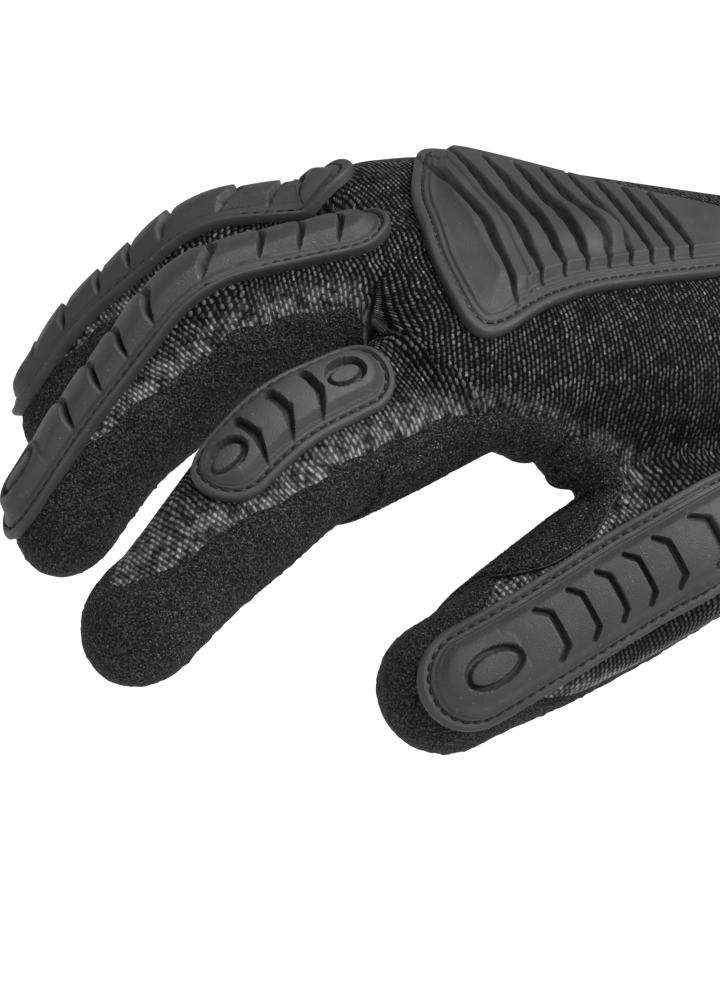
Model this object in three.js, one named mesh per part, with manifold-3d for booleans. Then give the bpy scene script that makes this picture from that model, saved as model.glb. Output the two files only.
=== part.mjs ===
// An impact glove for a right hand, in the shape that it has when a hand fills it.
// A seamless knitted liner is dipped in sandy foam over the palm, the finger sides and the fingertips.
// Moulded rubber guards are sewn to the back of the hand and to each digit, and a patch covers the thumb web.
// Frame: the origin is the middle of the wrist opening, the fingers point to -X, the thumb side is -Y and the
// back of the hand is +Z. Lengths are millimetres, angles are degrees.
import * as THREE from "three";
import { mergeVertices } from "three/addons/utils/BufferGeometryUtils.js";
import Module from "manifold-3d";

const wasm = await Module();
wasm.setup();

// Driving dimensions of the layers.
const clearance = 0.3;
const linerWall = 1.6;
const dipWall = 0.7;
const patchWall = 1.2;
const hemWall = 1.2;
const hemLength = 8;

// Driving dimensions of the hand. "cuffCurve" is how much of its narrowing the cuff has done halfway along.
const cuffLength = 62;
const mouthWidth = 80;
const mouthThickness = 58;
const wristWidth = 68;
const wristThickness = 46;
const cuffCurve = 0.72;
const handLength = 118;
const palmWidth = 92;
const palmThickness = 38;
const jointReach = 8;
const fingertipLength = 12;

// Driving dimensions of the guards.
const flangeHeight = 1.4;
const flangeWidth = 2.4;
const ridgeSlope = 1.2;
const digitRidge = 3.8;
const backRidge = 4.4;
const grooveWidth = 1.2;
const ovalLength = 9;
const ovalWidth = 5;
const ovalGroove = 0.9;
const ovalDepth = 2;

// How far the guards' feet and the cutting shapes reach past what they are trimmed by or cut.
const footDepth = 2;
const cutterReach = 4;

// Palm sections from the wrist to the finger webs. "along" is a share of handLength, "wide" and "aside" (towards
// the thumb) are shares of palmWidth, "high" and "raised" are shares of palmThickness.
const palmRows = [
  { along: 0.2, wide: 0.9, high: 1.08, aside: 0.0, raised: 0.0 },
  { along: 0.45, wide: 0.99, high: 1.04, aside: 0.0, raised: 0.0 },
  { along: 0.7, wide: 0.96, high: 0.94, aside: 0.0, raised: 0.04 },
  { along: 0.84, wide: 0.86, high: 0.82, aside: 0.02, raised: 0.07 },
  { along: 0.93, wide: 0.7, high: 0.5, aside: 0.06, raised: 0.08 },
];

// Sections of a finger and of the thumb. "along" is a share of the digit's length from its knuckle, "wide" is a
// share of its width and "high" of its thickness.
const fingerRows = [
  { along: -0.14, wide: 0.8, high: 0.3 },
  { along: -0.02, wide: 1.0, high: 0.74 },
  { along: 0.1, wide: 1.12, high: 1.14 },
  { along: 0.34, wide: 1.06, high: 1.14 },
  { along: 0.47, wide: 1.06, high: 1.12 },
  { along: 0.6, wide: 1.02, high: 1.06 },
  { along: 0.75, wide: 1.0, high: 1.0 },
];
const thumbRows = [
  { along: -0.05, wide: 0.6, high: 0.6 },
  { along: 0.06, wide: 1.05, high: 1.1 },
  { along: 0.18, wide: 1.32, high: 1.38 },
  { along: 0.38, wide: 1.28, high: 1.28 },
  { along: 0.55, wide: 1.08, high: 1.08 },
  { along: 0.74, wide: 1.02, high: 1.0 },
];

// The digits. A knuckle lies "along" the hand, "aside" towards the thumb and "raised" above the palm's middle, in
// the palm's shares. "spread" turns the digit towards the thumb side, "droop" towards the palm, and "lean" rolls it.
// "bones" are the lengths between joints, and "bends" the angles at the joints between them.
const digits = {
  index: {
    along: 0.747, aside: 0.305, raised: 0.02, spread: 20, droop: 19, lean: 22,
    bones: [46, 27, 26], bends: [20.5, 6.5], width: 21.2, thickness: 21.2, rows: fingerRows,
  },
  middle: {
    along: 0.748, aside: 0.057, raised: 0.26, spread: 2, droop: 18.5, lean: 22,
    bones: [50, 31, 26], bends: [40, 7.5], width: 20, thickness: 20, rows: fingerRows,
  },
  ring: {
    along: 0.69, aside: -0.146, raised: 0.137, spread: -21, droop: 21, lean: 16,
    bones: [46, 28.5, 26], bends: [35.5, 18], width: 19.4, thickness: 19.4, rows: fingerRows,
  },
  pinky: {
    along: 0.6, aside: -0.33, raised: -0.03, spread: -32, droop: 26, lean: 10,
    bones: [36, 22, 22], bends: [36, 18], width: 18, thickness: 18.4, rows: fingerRows,
  },
  thumb: {
    along: 0.082, aside: 0.36, raised: -0.32, spread: 27, droop: 13.5, lean: -37,
    bones: [45.5, 35.5, 29.5], bends: [19, 12], width: 24.8, thickness: 23.5, rows: thumbRows,
  },
};

// The web between the thumb and the index finger: its ends are shares of the two lengths, the others of palmWidth.
const web = { thumbAlong: 0.36, indexAlong: -0.04, halfDepth: 0.185, halfThickness: 0.1, sag: 0.065 };

// The dip reaches from below up to a share of half the thickness, on the palm at shares of handLength and on a
// digit at shares of its length.
const palmDipRows = [
  { along: 0.12, reach: -0.15 },
  { along: 0.5, reach: -0.25 },
  { along: 0.74, reach: -0.2 },
  { along: 0.92, reach: -0.3 },
];
const fingerDipRows = [
  { along: -0.1, reach: -0.5 },
  { along: 0.1, reach: 0.0 },
  { along: 0.5, reach: 0.05 },
  { along: 0.74, reach: 0.25 },
  { along: 0.88, reach: 0.75 },
  { along: 1.03, reach: 1.7 },
];
const thumbDipRows = [
  { along: 0.05, reach: -0.3 },
  { along: 0.4, reach: -0.3 },
  { along: 0.74, reach: -0.1 },
  { along: 0.88, reach: 0.5 },
  { along: 1.03, reach: 1.7 },
];

// The patch's outline on the web: "line" runs from the thumb to the index finger and "inward" into the hand, from the
// middle of the web's line, both in shares of palmWidth. It reaches "above" and "below" that outline's plane.
const patchOutline = [
  { line: 0.34, inward: -0.35 },
  { line: 0.28, inward: -0.225 },
  { line: 0.23, inward: -0.18 },
  { line: 0.168, inward: -0.146 },
  { line: 0.086, inward: -0.106 },
  { line: 0.015, inward: -0.08 },
  { line: -0.045, inward: -0.072 },
  { line: -0.072, inward: -0.11 },
  { line: -0.05, inward: -0.2 },
  { line: -0.03, inward: -0.28 },
  { line: 0.03, inward: -0.38 },
];
const patchReach = { above: 0.3, below: 0.45 };

// Guards on the digits. "from" and "to" are shares of the digit's length, "root" and "tip" the half widths at those
// ends as shares of its width, and "turned" moves the guard around the digit, in degrees. Grooves start at "first"
// and repeat every "pitch", shares of the length. "across" and "flat" are their half widths as shares of the digit's
// width, and "sweep" is how far their ends lead. "ovals" are ring grooves at shares of the length.
const guards = {
  index: {
    from: 0.265, to: 0.66, root: 0.44, tip: 0.44, turned: 6,
    grooves: { first: 0.4, pitch: 0.06, count: 3, across: 0.2, flat: 0.1, sweep: 0.06 }, ovals: [0.33, 0.59],
  },
  middle: {
    from: 0.12, to: 0.95, root: 0.47, tip: 0.4, turned: 0,
    grooves: { first: 0.2, pitch: 0.086, count: 8, across: 0.34, flat: 0.06, sweep: 0.16 }, ovals: [0.89],
  },
  ring: {
    from: 0.17, to: 0.95, root: 0.47, tip: 0.4, turned: 0,
    grooves: { first: 0.25, pitch: 0.09, count: 7, across: 0.34, flat: 0.06, sweep: 0.16 }, ovals: [0.89],
  },
  pinky: {
    from: 0.2, to: 0.94, root: 0.47, tip: 0.4, turned: 0,
    grooves: { first: 0.28, pitch: 0.1, count: 6, across: 0.34, flat: 0.06, sweep: 0.16 }, ovals: [0.87],
  },
  thumb: {
    from: 0.12, to: 0.93, root: 0.4, tip: 0.4, turned: 0,
    grooves: { first: 0.25, pitch: 0.06, count: 8, across: 0.18, flat: 0.11, sweep: 0.08 }, ovals: [0.82],
  },
};

// The back panel's outline, as shares of handLength from the wrist and of half of palmWidth towards the thumb.
const backOutline = [
  { along: 0.16, aside: 0.0 },
  { along: 0.2, aside: 0.2 },
  { along: 0.3, aside: 0.27 },
  { along: 0.4, aside: 0.335 },
  { along: 0.5, aside: 0.41 },
  { along: 0.6, aside: 0.52 },
  { along: 0.7, aside: 0.67 },
  { along: 0.77, aside: 0.76 },
  { along: 0.815, aside: 0.77 },
  { along: 0.845, aside: 0.66 },
  { along: 0.85, aside: 0.4 },
  { along: 0.84, aside: 0.1 },
  { along: 0.81, aside: -0.2 },
  { along: 0.76, aside: -0.5 },
  { along: 0.71, aside: -0.7 },
  { along: 0.66, aside: -0.76 },
  { along: 0.6, aside: -0.7 },
  { along: 0.5, aside: -0.52 },
  { along: 0.4, aside: -0.37 },
  { along: 0.3, aside: -0.28 },
  { along: 0.2, aside: -0.2 },
];
// Its grooves lie across the hand, at shares of handLength, each with its two ends in the same shares as the outline.
const backGrooves = [
  { along: 0.66, low: -0.3, high: 0.3 },
  { along: 0.6, low: -0.26, high: 0.26 },
  { along: 0.54, low: -0.22, high: 0.22 },
  { along: 0.48, low: -0.18, high: 0.18 },
  { along: 0.42, low: -0.14, high: 0.14 },
  { along: 0.36, low: -0.11, high: 0.11 },
  { along: 0.3, low: -0.09, high: 0.09 },
];
const backCentre = { along: 0.6, aside: 0.0 };

// How finely the solids are faceted.
const sides = 12;
const palmSides = 18;
const capRings = 2;
const guardSteps = 10;
const sectionPower = 2.3;
const palmPower = 2.5;

const forward = new THREE.Vector3(-1, 0, 0);
const upward = new THREE.Vector3(0, 0, 1);

const sum = (values) => values.reduce((total, value) => total + value, 0);
const mix = THREE.MathUtils.lerp;
const turn = THREE.MathUtils.degToRad;

// The value of a column at a place along a table's rows, straight between rows.
function atRow(rows, along, column) {
  const next = rows.findIndex((row) => row.along >= along);
  if (next === 0) return rows[0][column];
  if (next < 0) return rows.at(-1)[column];
  const [a, b] = [rows[next - 1], rows[next]];
  return mix(a[column], b[column], (along - a.along) / (b.along - a.along));
}

// A point of a rounded section: a superellipse with half sizes w and h, angle 0 at its top.
function roundedPoint(angle, w, h, power) {
  const bulge = (value) => Math.sign(value) * Math.abs(value) ** (2 / power);
  return [w * bulge(Math.sin(angle)), h * bulge(Math.cos(angle))];
}

// The palm: its section at a distance from the wrist opening towards the fingers.
function palmSection(distance) {
  const halfway = {
    wide: mix(mouthWidth, wristWidth, cuffCurve),
    high: mix(mouthThickness, wristThickness, cuffCurve),
  };
  const stations = [
    { along: 0, wide: mouthWidth, high: mouthThickness, aside: 0, raised: 0 },
    { along: cuffLength / 2, ...halfway, aside: 0, raised: 0 },
    { along: cuffLength, wide: wristWidth, high: wristThickness, aside: 0, raised: 0 },
    ...palmRows.map((row) => ({
      along: cuffLength + row.along * handLength,
      wide: row.wide * palmWidth,
      high: row.high * palmThickness,
      aside: row.aside * palmWidth,
      raised: row.raised * palmThickness,
    })),
  ];
  const read = (column) => atRow(stations, distance, column);
  return { w: read("wide") / 2, h: read("high") / 2, y: -read("aside"), z: read("raised") };
}

// A digit's centreline and its own directions at a distance from the knuckle.
function makePath(digit) {
  const start = new THREE.Vector3(
    -(cuffLength + digit.along * handLength),
    -digit.aside * palmWidth,
    digit.raised * palmThickness,
  );
  const flat = forward.clone().applyAxisAngle(upward, turn(digit.spread));
  const hinge = new THREE.Vector3().crossVectors(upward, flat);
  const along = flat.applyAxisAngle(hinge, turn(digit.droop));
  const up = new THREE.Vector3().crossVectors(along, hinge).applyAxisAngle(along, turn(digit.lean));
  const side = new THREE.Vector3().crossVectors(up, along);
  const joints = digit.bends.map((bend, i) => ({ at: sum(digit.bones.slice(0, i + 1)), bend }));
  const bentShare = (s, at) => THREE.MathUtils.smoothstep(s, at - jointReach, at + jointReach);
  const angleAt = (s) => turn(sum(joints.map(({ at, bend }) => bend * bentShare(s, at))));
  const direction = (s) => {
    const angle = angleAt(s);
    return along.clone().multiplyScalar(Math.cos(angle)).addScaledVector(up, -Math.sin(angle));
  };
  const length = sum(digit.bones);
  const places = [start.clone()];
  for (let s = 0; s < length + jointReach; s++) places.push(places[s].clone().add(direction(s + 0.5)));
  return {
    length,
    side,
    along: direction,
    up: (s) => up.clone().multiplyScalar(Math.cos(angleAt(s))).addScaledVector(along, Math.sin(angleAt(s))),
    point: (s) => {
      if (s <= 0) return start.clone().addScaledVector(along, s);
      const i = Math.min(Math.floor(s), places.length - 2);
      return places[i].clone().lerp(places[i + 1], s - i);
    },
  };
}
for (const digit of Object.values(digits)) digit.path = makePath(digit);

// A closed surface through rings with the same number of points, with a flat or pointed end at each end.
function loft(rings) {
  const count = rings[0].length;
  const points = rings.flat();
  const index = [];
  const ring = (i, j) => i * count + (j % count);
  for (let i = 0; i + 1 < rings.length; i++)
    for (let j = 0; j < count; j++)
      index.push(ring(i, j), ring(i + 1, j), ring(i + 1, j + 1), ring(i, j), ring(i + 1, j + 1), ring(i, j + 1));
  for (const [i, flip] of [[0, false], [rings.length - 1, true]]) {
    const middle = new THREE.Vector3();
    for (const point of rings[i]) middle.addScaledVector(point, 1 / count);
    points.push(middle);
    for (let j = 0; j < count; j++)
      index.push(points.length - 1, ring(i, flip ? j + 1 : j), ring(i, flip ? j : j + 1));
  }
  return closedGeometry(points, index);
}

// A geometry from points and triangles, turned so that its faces point out.
function closedGeometry(points, index) {
  let volume = 0;
  for (let i = 0; i < index.length; i += 3) {
    const [a, b, c] = [points[index[i]], points[index[i + 1]], points[index[i + 2]]];
    volume += a.dot(new THREE.Vector3().crossVectors(b, c));
  }
  if (volume < 0) index.reverse();
  return new THREE.BufferGeometry().setFromPoints(points).setIndex(index);
}

// The largest closed body of a geometry, without the crumbs that a cut can leave.
function largestBody(geometry) {
  const index = Array.from(geometry.index.array);
  const owner = Array.from({ length: geometry.attributes.position.count }, (_, i) => i);
  const find = (i) => {
    while (owner[i] !== i) i = owner[i] = owner[owner[i]];
    return i;
  };
  for (let i = 0; i < index.length; i += 3) {
    owner[find(index[i])] = find(index[i + 1]);
    owner[find(index[i + 1])] = find(index[i + 2]);
  }
  const bodies = Map.groupBy(
    index.keys().filter((i) => i % 3 === 0),
    (i) => find(index[i]),
  );
  const largest = [...bodies.values()].sort((a, b) => b.length - a.length)[0];
  return geometry.setIndex(largest.flatMap((i) => index.slice(i, i + 3)));
}

function solid(geometry) {
  const bare = geometry.clone();
  bare.deleteAttribute("normal");
  bare.deleteAttribute("uv");
  const merged = mergeVertices(bare, 1e-3);
  return new wasm.Manifold(
    new wasm.Mesh({
      numProp: 3,
      vertProperties: new Float32Array(merged.attributes.position.array),
      triVerts: new Uint32Array(merged.index.array),
    }),
  );
}

function geometryOf(manifold) {
  const mesh = manifold.getMesh();
  const geometry = new THREE.BufferGeometry()
    .setAttribute("position", new THREE.BufferAttribute(mesh.vertProperties, 3))
    .setIndex(new THREE.BufferAttribute(mesh.triVerts, 1));
  const body = largestBody(geometry).toNonIndexed();
  body.computeVertexNormals();
  return body;
}

const joined = (solids) => solids.reduce((all, next) => all.add(next));

// Half sizes of a digit at a distance from its knuckle, grown by an offset and closing over the fingertip.
function digitSize(digit, s, offset) {
  const { length } = digit.path;
  const capStart = length - fingertipLength;
  const over = Math.max(0, (s - capStart) / (fingertipLength + offset));
  const closing = Math.sqrt(Math.max(0, 1 - over ** 2));
  const grown = (size, column) => ((size / 2) * atRow(digit.rows, s / length, column) + offset) * closing;
  return { w: grown(digit.width, "wide"), h: grown(digit.thickness, "high") };
}

function digitPoint(digit, s, angle, offset) {
  const { w, h } = digitSize(digit, s, offset);
  const [across, high] = roundedPoint(angle, w, h, sectionPower);
  return digit.path.point(s).addScaledVector(digit.path.side, across).addScaledVector(digit.path.up(s), high);
}

// Distances along a digit at which it has a section: one at each row, then rings over the fingertip.
function digitStations(digit, offset) {
  const { length } = digit.path;
  const capStart = length - fingertipLength;
  const body = digit.rows.map((row, i) => row.along * length - (i === 0 ? offset : 0));
  const cap = Array.from({ length: capRings + 1 }, (_, i) => {
    const angle = (i / (capRings + 0.35)) * (Math.PI / 2);
    return capStart + (fingertipLength + offset) * Math.sin(angle);
  });
  return [...body, ...cap];
}

function digitSolid(digit, offset) {
  const rings = digitStations(digit, offset).map((s) =>
    Array.from({ length: sides }, (_, j) => digitPoint(digit, s, (j / sides) * 2 * Math.PI, offset)),
  );
  return solid(loft(rings));
}

// The hand and wrist without the digits. A negative offset runs out through the mouth, so that it opens the glove.
function palmSolid(offset) {
  const mouth = offset < 0 ? -cuffLength * 0.1 : 0;
  const end = cuffLength + palmRows.at(-1).along * handLength;
  const stations = [
    mouth,
    cuffLength * 0.25,
    cuffLength * 0.5,
    cuffLength,
    ...palmRows.map((row) => cuffLength + row.along * handLength),
  ];
  const rings = stations.map((distance) => {
    const { w, h, y, z } = palmSection(Math.max(0, distance));
    const place = distance === end ? distance + offset : distance;
    return Array.from({ length: palmSides }, (_, j) => {
      const [across, high] = roundedPoint((j / palmSides) * 2 * Math.PI, w + offset, h + offset, palmPower);
      return new THREE.Vector3(-place, y - across, z + high);
    });
  });
  return solid(loft(rings));
}

// The web's own directions: a line from the thumb to the index finger, and inward to the palm's middle.
function webFrame() {
  const { thumb, index } = digits;
  const start = thumb.path.point(web.thumbAlong * thumb.path.length);
  const end = index.path.point(web.indexAlong * index.path.length);
  const middle = start.clone().lerp(end, 0.5);
  const line = end.clone().sub(start).normalize();
  const palm = palmSection(cuffLength + 0.45 * handLength);
  const inward = new THREE.Vector3(-(cuffLength + 0.45 * handLength), palm.y, palm.z).sub(middle);
  inward.addScaledVector(line, -inward.dot(line)).normalize();
  return { start, end, middle, line, inward, normal: new THREE.Vector3().crossVectors(line, inward) };
}

// The web: rounded sections on its line, which sags towards the palm.
function webSolid(offset) {
  const { start, end, inward, normal } = webFrame();
  const [halfDepth, halfThickness] = [web.halfDepth * palmWidth, web.halfThickness * palmWidth];
  const rings = [0, 0.25, 0.5, 0.75, 1].map((t) => {
    const centre = start.clone().lerp(end, t).addScaledVector(inward, web.sag * palmWidth * Math.sin(Math.PI * t));
    return Array.from({ length: sides }, (_, j) => {
      const angle = (j / sides) * 2 * Math.PI;
      const [deep, thick] = roundedPoint(angle, halfDepth + offset, halfThickness + offset, 2);
      return centre.clone().addScaledVector(inward, deep).addScaledVector(normal, thick);
    });
  });
  return solid(loft(rings));
}

// The whole filled glove, grown or shrunk by an offset.
const grownHands = new Map();
function handSolid(offset) {
  if (!grownHands.has(offset)) {
    const parts = Object.values(digits).map((digit) => digitSolid(digit, offset));
    grownHands.set(offset, joined([palmSolid(offset), webSolid(offset), ...parts]));
  }
  return grownHands.get(offset);
}

// Where the sandy dip covers the hand: below a line along each side, which climbs over each fingertip.
function dipRegion(grow) {
  const overhang = cutterReach + grow;
  const boxRing = (centre, side, up, w, low, high) =>
    [[-w, low], [w, low], [w, high], [-w, high]].map(([a, b]) =>
      centre.clone().addScaledVector(side, a).addScaledVector(up, b),
    );
  const parts = Object.values(digits).map((digit) => {
    const { path } = digit;
    const digitDipRows = digit === digits.thumb ? thumbDipRows : fingerDipRows;
    const [w, h] = [0.6 * digit.width + overhang, 0.6 * digit.thickness + overhang];
    const rings = digitDipRows.map(({ along, reach }, i) => {
      const s = along * path.length + (i === 0 ? -grow : 0);
      return boxRing(path.point(s), path.side, path.up(s), w, -h, (reach * digit.thickness) / 2 + grow);
    });
    return solid(loft(rings));
  });
  const side = new THREE.Vector3(0, -1, 0);
  const rings = palmDipRows.map(({ along: share, reach }, i) => {
    const distance = cuffLength + share * handLength;
    const { w, h, y, z } = palmSection(distance);
    const centre = new THREE.Vector3(-distance - (i === 0 ? -grow : grow), y, z);
    return boxRing(centre, side, upward, w + 2 * overhang, -h - 2 * overhang, reach * h + grow);
  });
  return joined([solid(loft(rings)), ...parts]);
}

// The layer between two offsets of the hand.
const layer = (low, high) => handSolid(high).subtract(handSolid(low));

// A prism through the web with the patch's outline.
function patchRegion(grow) {
  const { middle, line, inward, normal } = webFrame();
  const points = patchOutline.map((point) => new THREE.Vector2(point.line, point.inward).multiplyScalar(palmWidth));
  const centre = points.reduce((total, point) => total.add(point), new THREE.Vector2()).divideScalar(points.length);
  const grown = points.map((point) => {
    const away = point.clone().sub(centre);
    return point.clone().addScaledVector(away.normalize(), grow);
  });
  const depth = (patchReach.above + patchReach.below) * palmWidth;
  const geometry = new THREE.ExtrudeGeometry(new THREE.Shape(grown), { depth, bevelEnabled: false });
  const foot = middle.clone().addScaledVector(normal, -patchReach.above * palmWidth);
  return solid(geometry.applyMatrix4(new THREE.Matrix4().makeBasis(line, inward, normal).setPosition(foot)));
}

// A guard blank: rings of points from its buried foot up its rim, over the flange and the slope to its flat top.
// "outline" gives the points of the rim at an inset, and "place" puts such a point at a height above the hand.
function guardBlank(outline, place, ridge) {
  const profile = [
    { inset: 0, height: -footDepth },
    { inset: 0, height: clearance + flangeHeight },
    { inset: flangeWidth, height: clearance + flangeHeight },
    { inset: flangeWidth + ridgeSlope, height: clearance + ridge },
  ];
  const rings = profile.map(({ inset, height }) => outline(inset).map((point) => place(point, height)));
  const count = rings[0].length;
  const index = [];
  const at = (i, j) => i * count + (j % count);
  for (let i = 0; i + 1 < rings.length; i++)
    for (let j = 0; j < count; j++)
      index.push(at(i, j), at(i + 1, j), at(i + 1, j + 1), at(i, j), at(i + 1, j + 1), at(i, j + 1));
  // Both the foot and the top are closed by strips between the outline's two sides.
  for (const [ring, flip] of [[0, false], [rings.length - 1, true]])
    for (let j = 0; j < count / 2 - 1; j++) {
      const [a, b, c, d] = [at(ring, j), at(ring, j + 1), at(ring, count - 2 - j), at(ring, count - 1 - j)];
      index.push(...(flip ? [a, c, b, a, d, c] : [a, b, c, a, c, d]));
    }
  return solid(closedGeometry(rings.flat(), index));
}

// The rounded outline of a digit's guard: points of one side from root to tip, then of the other side back.
function digitOutline(digit, spec, inset) {
  const { length } = digit.path;
  const [from, to] = [spec.from * length + inset, spec.to * length - inset];
  const half = (share) => mix(spec.root, spec.tip, share) * digit.width - inset;
  const near = Array.from({ length: guardSteps + 1 }, (_, i) => {
    const share = (1 - Math.cos((i / guardSteps) * Math.PI)) / 2;
    const s = mix(from, to, share);
    const ends = Math.min(1, (s - from + 0.4) / half(0), (to - s + 0.4) / half(1));
    return { s, v: half(share) * Math.sqrt(1 - (1 - ends) ** 2) };
  });
  return [...near, ...near.map(({ s, v }) => ({ s, v: -v })).reverse()];
}

// A point at a distance along a digit and an arc length across its back.
function onDigit(digit, spec, { s, v }, height) {
  const angle = turn(spec.turned) + v / (digitSize(digit, Math.min(s, 0.85 * digit.path.length), 0).w + height);
  return digitPoint(digit, s, angle, height);
}

// A prism that stands on a digit's back, with a shape whose x goes across and whose y goes towards the wrist.
function digitCutter(digit, spec, along, shape, low, high) {
  const { path } = digit;
  const s = along * path.length;
  const angle = turn(spec.turned);
  const up = path.up(s).multiplyScalar(Math.cos(angle)).addScaledVector(path.side, Math.sin(angle));
  const side = new THREE.Vector3().crossVectors(up, path.along(s));
  const base = digitPoint(digit, s, angle, low);
  const basis = new THREE.Matrix4().makeBasis(side, path.along(s).negate(), up).setPosition(base);
  const geometry = new THREE.ExtrudeGeometry(shape, { depth: high - low, bevelEnabled: false });
  return solid(geometry.applyMatrix4(basis));
}

function chevron(across, flat, sweep) {
  const corners = [[-across, -sweep], [-flat, 0], [flat, 0], [across, -sweep]];
  const back = corners.map(([x, y]) => [x, y - grooveWidth]).reverse();
  return new THREE.Shape([...corners, ...back].map(([x, y]) => new THREE.Vector2(x, y)));
}

function ovalRing() {
  const oval = (shrink) =>
    Array.from({ length: sides }, (_, j) => {
      const angle = (j / sides) * 2 * Math.PI;
      return new THREE.Vector2(
        (ovalWidth / 2 - shrink) * Math.cos(angle),
        (ovalLength / 2 - shrink) * Math.sin(angle),
      );
    });
  const shape = new THREE.Shape(oval(0));
  shape.holes.push(new THREE.Path(oval(ovalGroove)));
  return shape;
}

function digitGuard(name, others) {
  const [digit, spec] = [digits[name], guards[name]];
  const { grooves } = spec;
  let guard = guardBlank(
    (inset) => digitOutline(digit, spec, inset),
    (point, height) => onDigit(digit, spec, point, height),
    digitRidge,
  );
  for (const other of others) guard = guard.subtract(other);
  const slot = chevron(grooves.across * digit.width, grooves.flat * digit.width, grooves.sweep * digit.width);
  const above = digitRidge + cutterReach;
  for (let i = 0; i < grooves.count; i++) {
    const along = grooves.first + i * grooves.pitch;
    guard = guard.subtract(digitCutter(digit, spec, along, slot, flangeHeight, above));
  }
  for (const along of spec.ovals)
    guard = guard.subtract(digitCutter(digit, spec, along, ovalRing(), digitRidge - ovalDepth, above));
  return guard;
}

// A point on the back of the hand, or above it, at shares of its length and half width.
function onBack({ along, aside }, height) {
  const distance = cuffLength + along * handLength;
  const { w, h, y, z } = palmSection(distance);
  const across = (aside * palmWidth) / 2;
  const drop = (1 - Math.min(1, Math.abs(across) / (w + height)) ** palmPower) ** (1 / palmPower);
  return new THREE.Vector3(-distance, y - across, z + (h + height) * drop);
}

function backGuard(others) {
  const outline = (inset) =>
    backOutline.map(({ along, aside }) => {
      const [a, b] = [along - backCentre.along, aside - backCentre.aside];
      const shrink = 1 - inset / Math.hypot(a * handLength, (b * palmWidth) / 2);
      return { along: backCentre.along + a * shrink, aside: backCentre.aside + b * shrink };
    });
  let guard = guardBlank(outline, onBack, backRidge);
  for (const other of others) guard = guard.subtract(other);
  for (const { along, low, high } of backGrooves) {
    const x = -cuffLength - along * handLength;
    const [y, length] = [(-high * palmWidth) / 2, ((high - low) * palmWidth) / 2];
    const slot = new THREE.BoxGeometry(grooveWidth, length, palmThickness);
    const base = onBack({ along, aside: high }, flangeHeight).z;
    slot.translate(x + grooveWidth / 2, y + length / 2, base + palmThickness / 2);
    guard = guard.subtract(solid(slot));
  }
  return guard;
}

const dipLow = clearance;
const dipHigh = dipLow + dipWall;
const patchLow = dipHigh + clearance;
const patchHigh = patchLow + patchWall;

const dip = layer(dipLow, dipHigh).intersect(dipRegion(0));
const dipRoom = handSolid(dipHigh + clearance).intersect(dipRegion(clearance));
const patch = layer(patchLow, patchHigh).intersect(patchRegion(0));
const patchRoom = handSolid(patchHigh + clearance).intersect(patchRegion(clearance));
const below = [handSolid(clearance), dipRoom, patchRoom];

// The band at the mouth: the layer above the liner over the first stretch of the cuff.
const hemBlock = new THREE.BoxGeometry(2 * hemLength, 2 * mouthWidth, 2 * mouthThickness);
const hem = layer(clearance, clearance + hemWall).intersect(solid(hemBlock));

const group = new THREE.Group();
function addPiece(name, manifold, color, roughness) {
  const material = new THREE.MeshStandardMaterial({ color, roughness, metalness: 0 });
  const mesh = new THREE.Mesh(geometryOf(manifold), material);
  mesh.name = name;
  group.add(mesh);
}

addPiece("knit_liner", layer(-linerWall, 0), 0x1d1d1d, 0.85);
addPiece("palm_dip", dip, 0x202020, 0.95);
addPiece("crotch_patch", patch, 0x242424, 0.9);
for (const name of Object.keys(guards)) addPiece(`${name}_guard`, digitGuard(name, below), 0x2c2c2c, 0.6);
addPiece("back_guard", backGuard(below), 0x2e2e2e, 0.6);
addPiece("cuff_hem", hem, 0x161616, 0.9);

export default group;
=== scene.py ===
import itertools
import math

import bpy
import numpy as np
from mathutils import Matrix, Vector


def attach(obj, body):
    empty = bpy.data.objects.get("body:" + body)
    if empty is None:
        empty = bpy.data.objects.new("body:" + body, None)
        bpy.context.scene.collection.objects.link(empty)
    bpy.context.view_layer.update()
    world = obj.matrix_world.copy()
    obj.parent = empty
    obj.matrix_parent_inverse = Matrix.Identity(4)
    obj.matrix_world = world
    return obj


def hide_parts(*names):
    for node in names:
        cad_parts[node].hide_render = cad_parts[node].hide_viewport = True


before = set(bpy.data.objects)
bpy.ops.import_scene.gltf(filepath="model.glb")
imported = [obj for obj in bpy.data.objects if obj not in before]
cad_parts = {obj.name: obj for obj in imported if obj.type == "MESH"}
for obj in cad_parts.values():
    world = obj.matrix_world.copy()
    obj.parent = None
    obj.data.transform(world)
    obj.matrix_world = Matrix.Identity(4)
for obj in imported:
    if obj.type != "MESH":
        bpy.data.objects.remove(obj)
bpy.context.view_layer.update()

MM = 0.001

# The hand's driving sizes, the same as the solids'.
CUFF_LENGTH = 62.0
MOUTH_WIDTH = 80.0
MOUTH_THICKNESS = 58.0
WRIST_WIDTH = 68.0
WRIST_THICKNESS = 46.0
CUFF_CURVE = 0.72
HAND_LENGTH = 118.0
PALM_WIDTH = 92.0
PALM_THICKNESS = 38.0
JOINT_REACH = 8.0
FINGERTIP_LENGTH = 12.0
SECTION_POWER = 2.3
PALM_POWER = 2.5
LINER_WALL = 1.6
COAT_WALL = 0.75

# Palm sections: shares of HAND_LENGTH, PALM_WIDTH and PALM_THICKNESS, then the middle's place aside and up.
PALM_ROWS = (
    (0.2, 0.9, 1.08, 0.0, 0.0),
    (0.45, 0.99, 1.04, 0.0, 0.0),
    (0.7, 0.96, 0.94, 0.0, 0.04),
    (0.84, 0.86, 0.82, 0.02, 0.07),
    (0.93, 0.7, 0.5, 0.06, 0.08),
)
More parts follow.
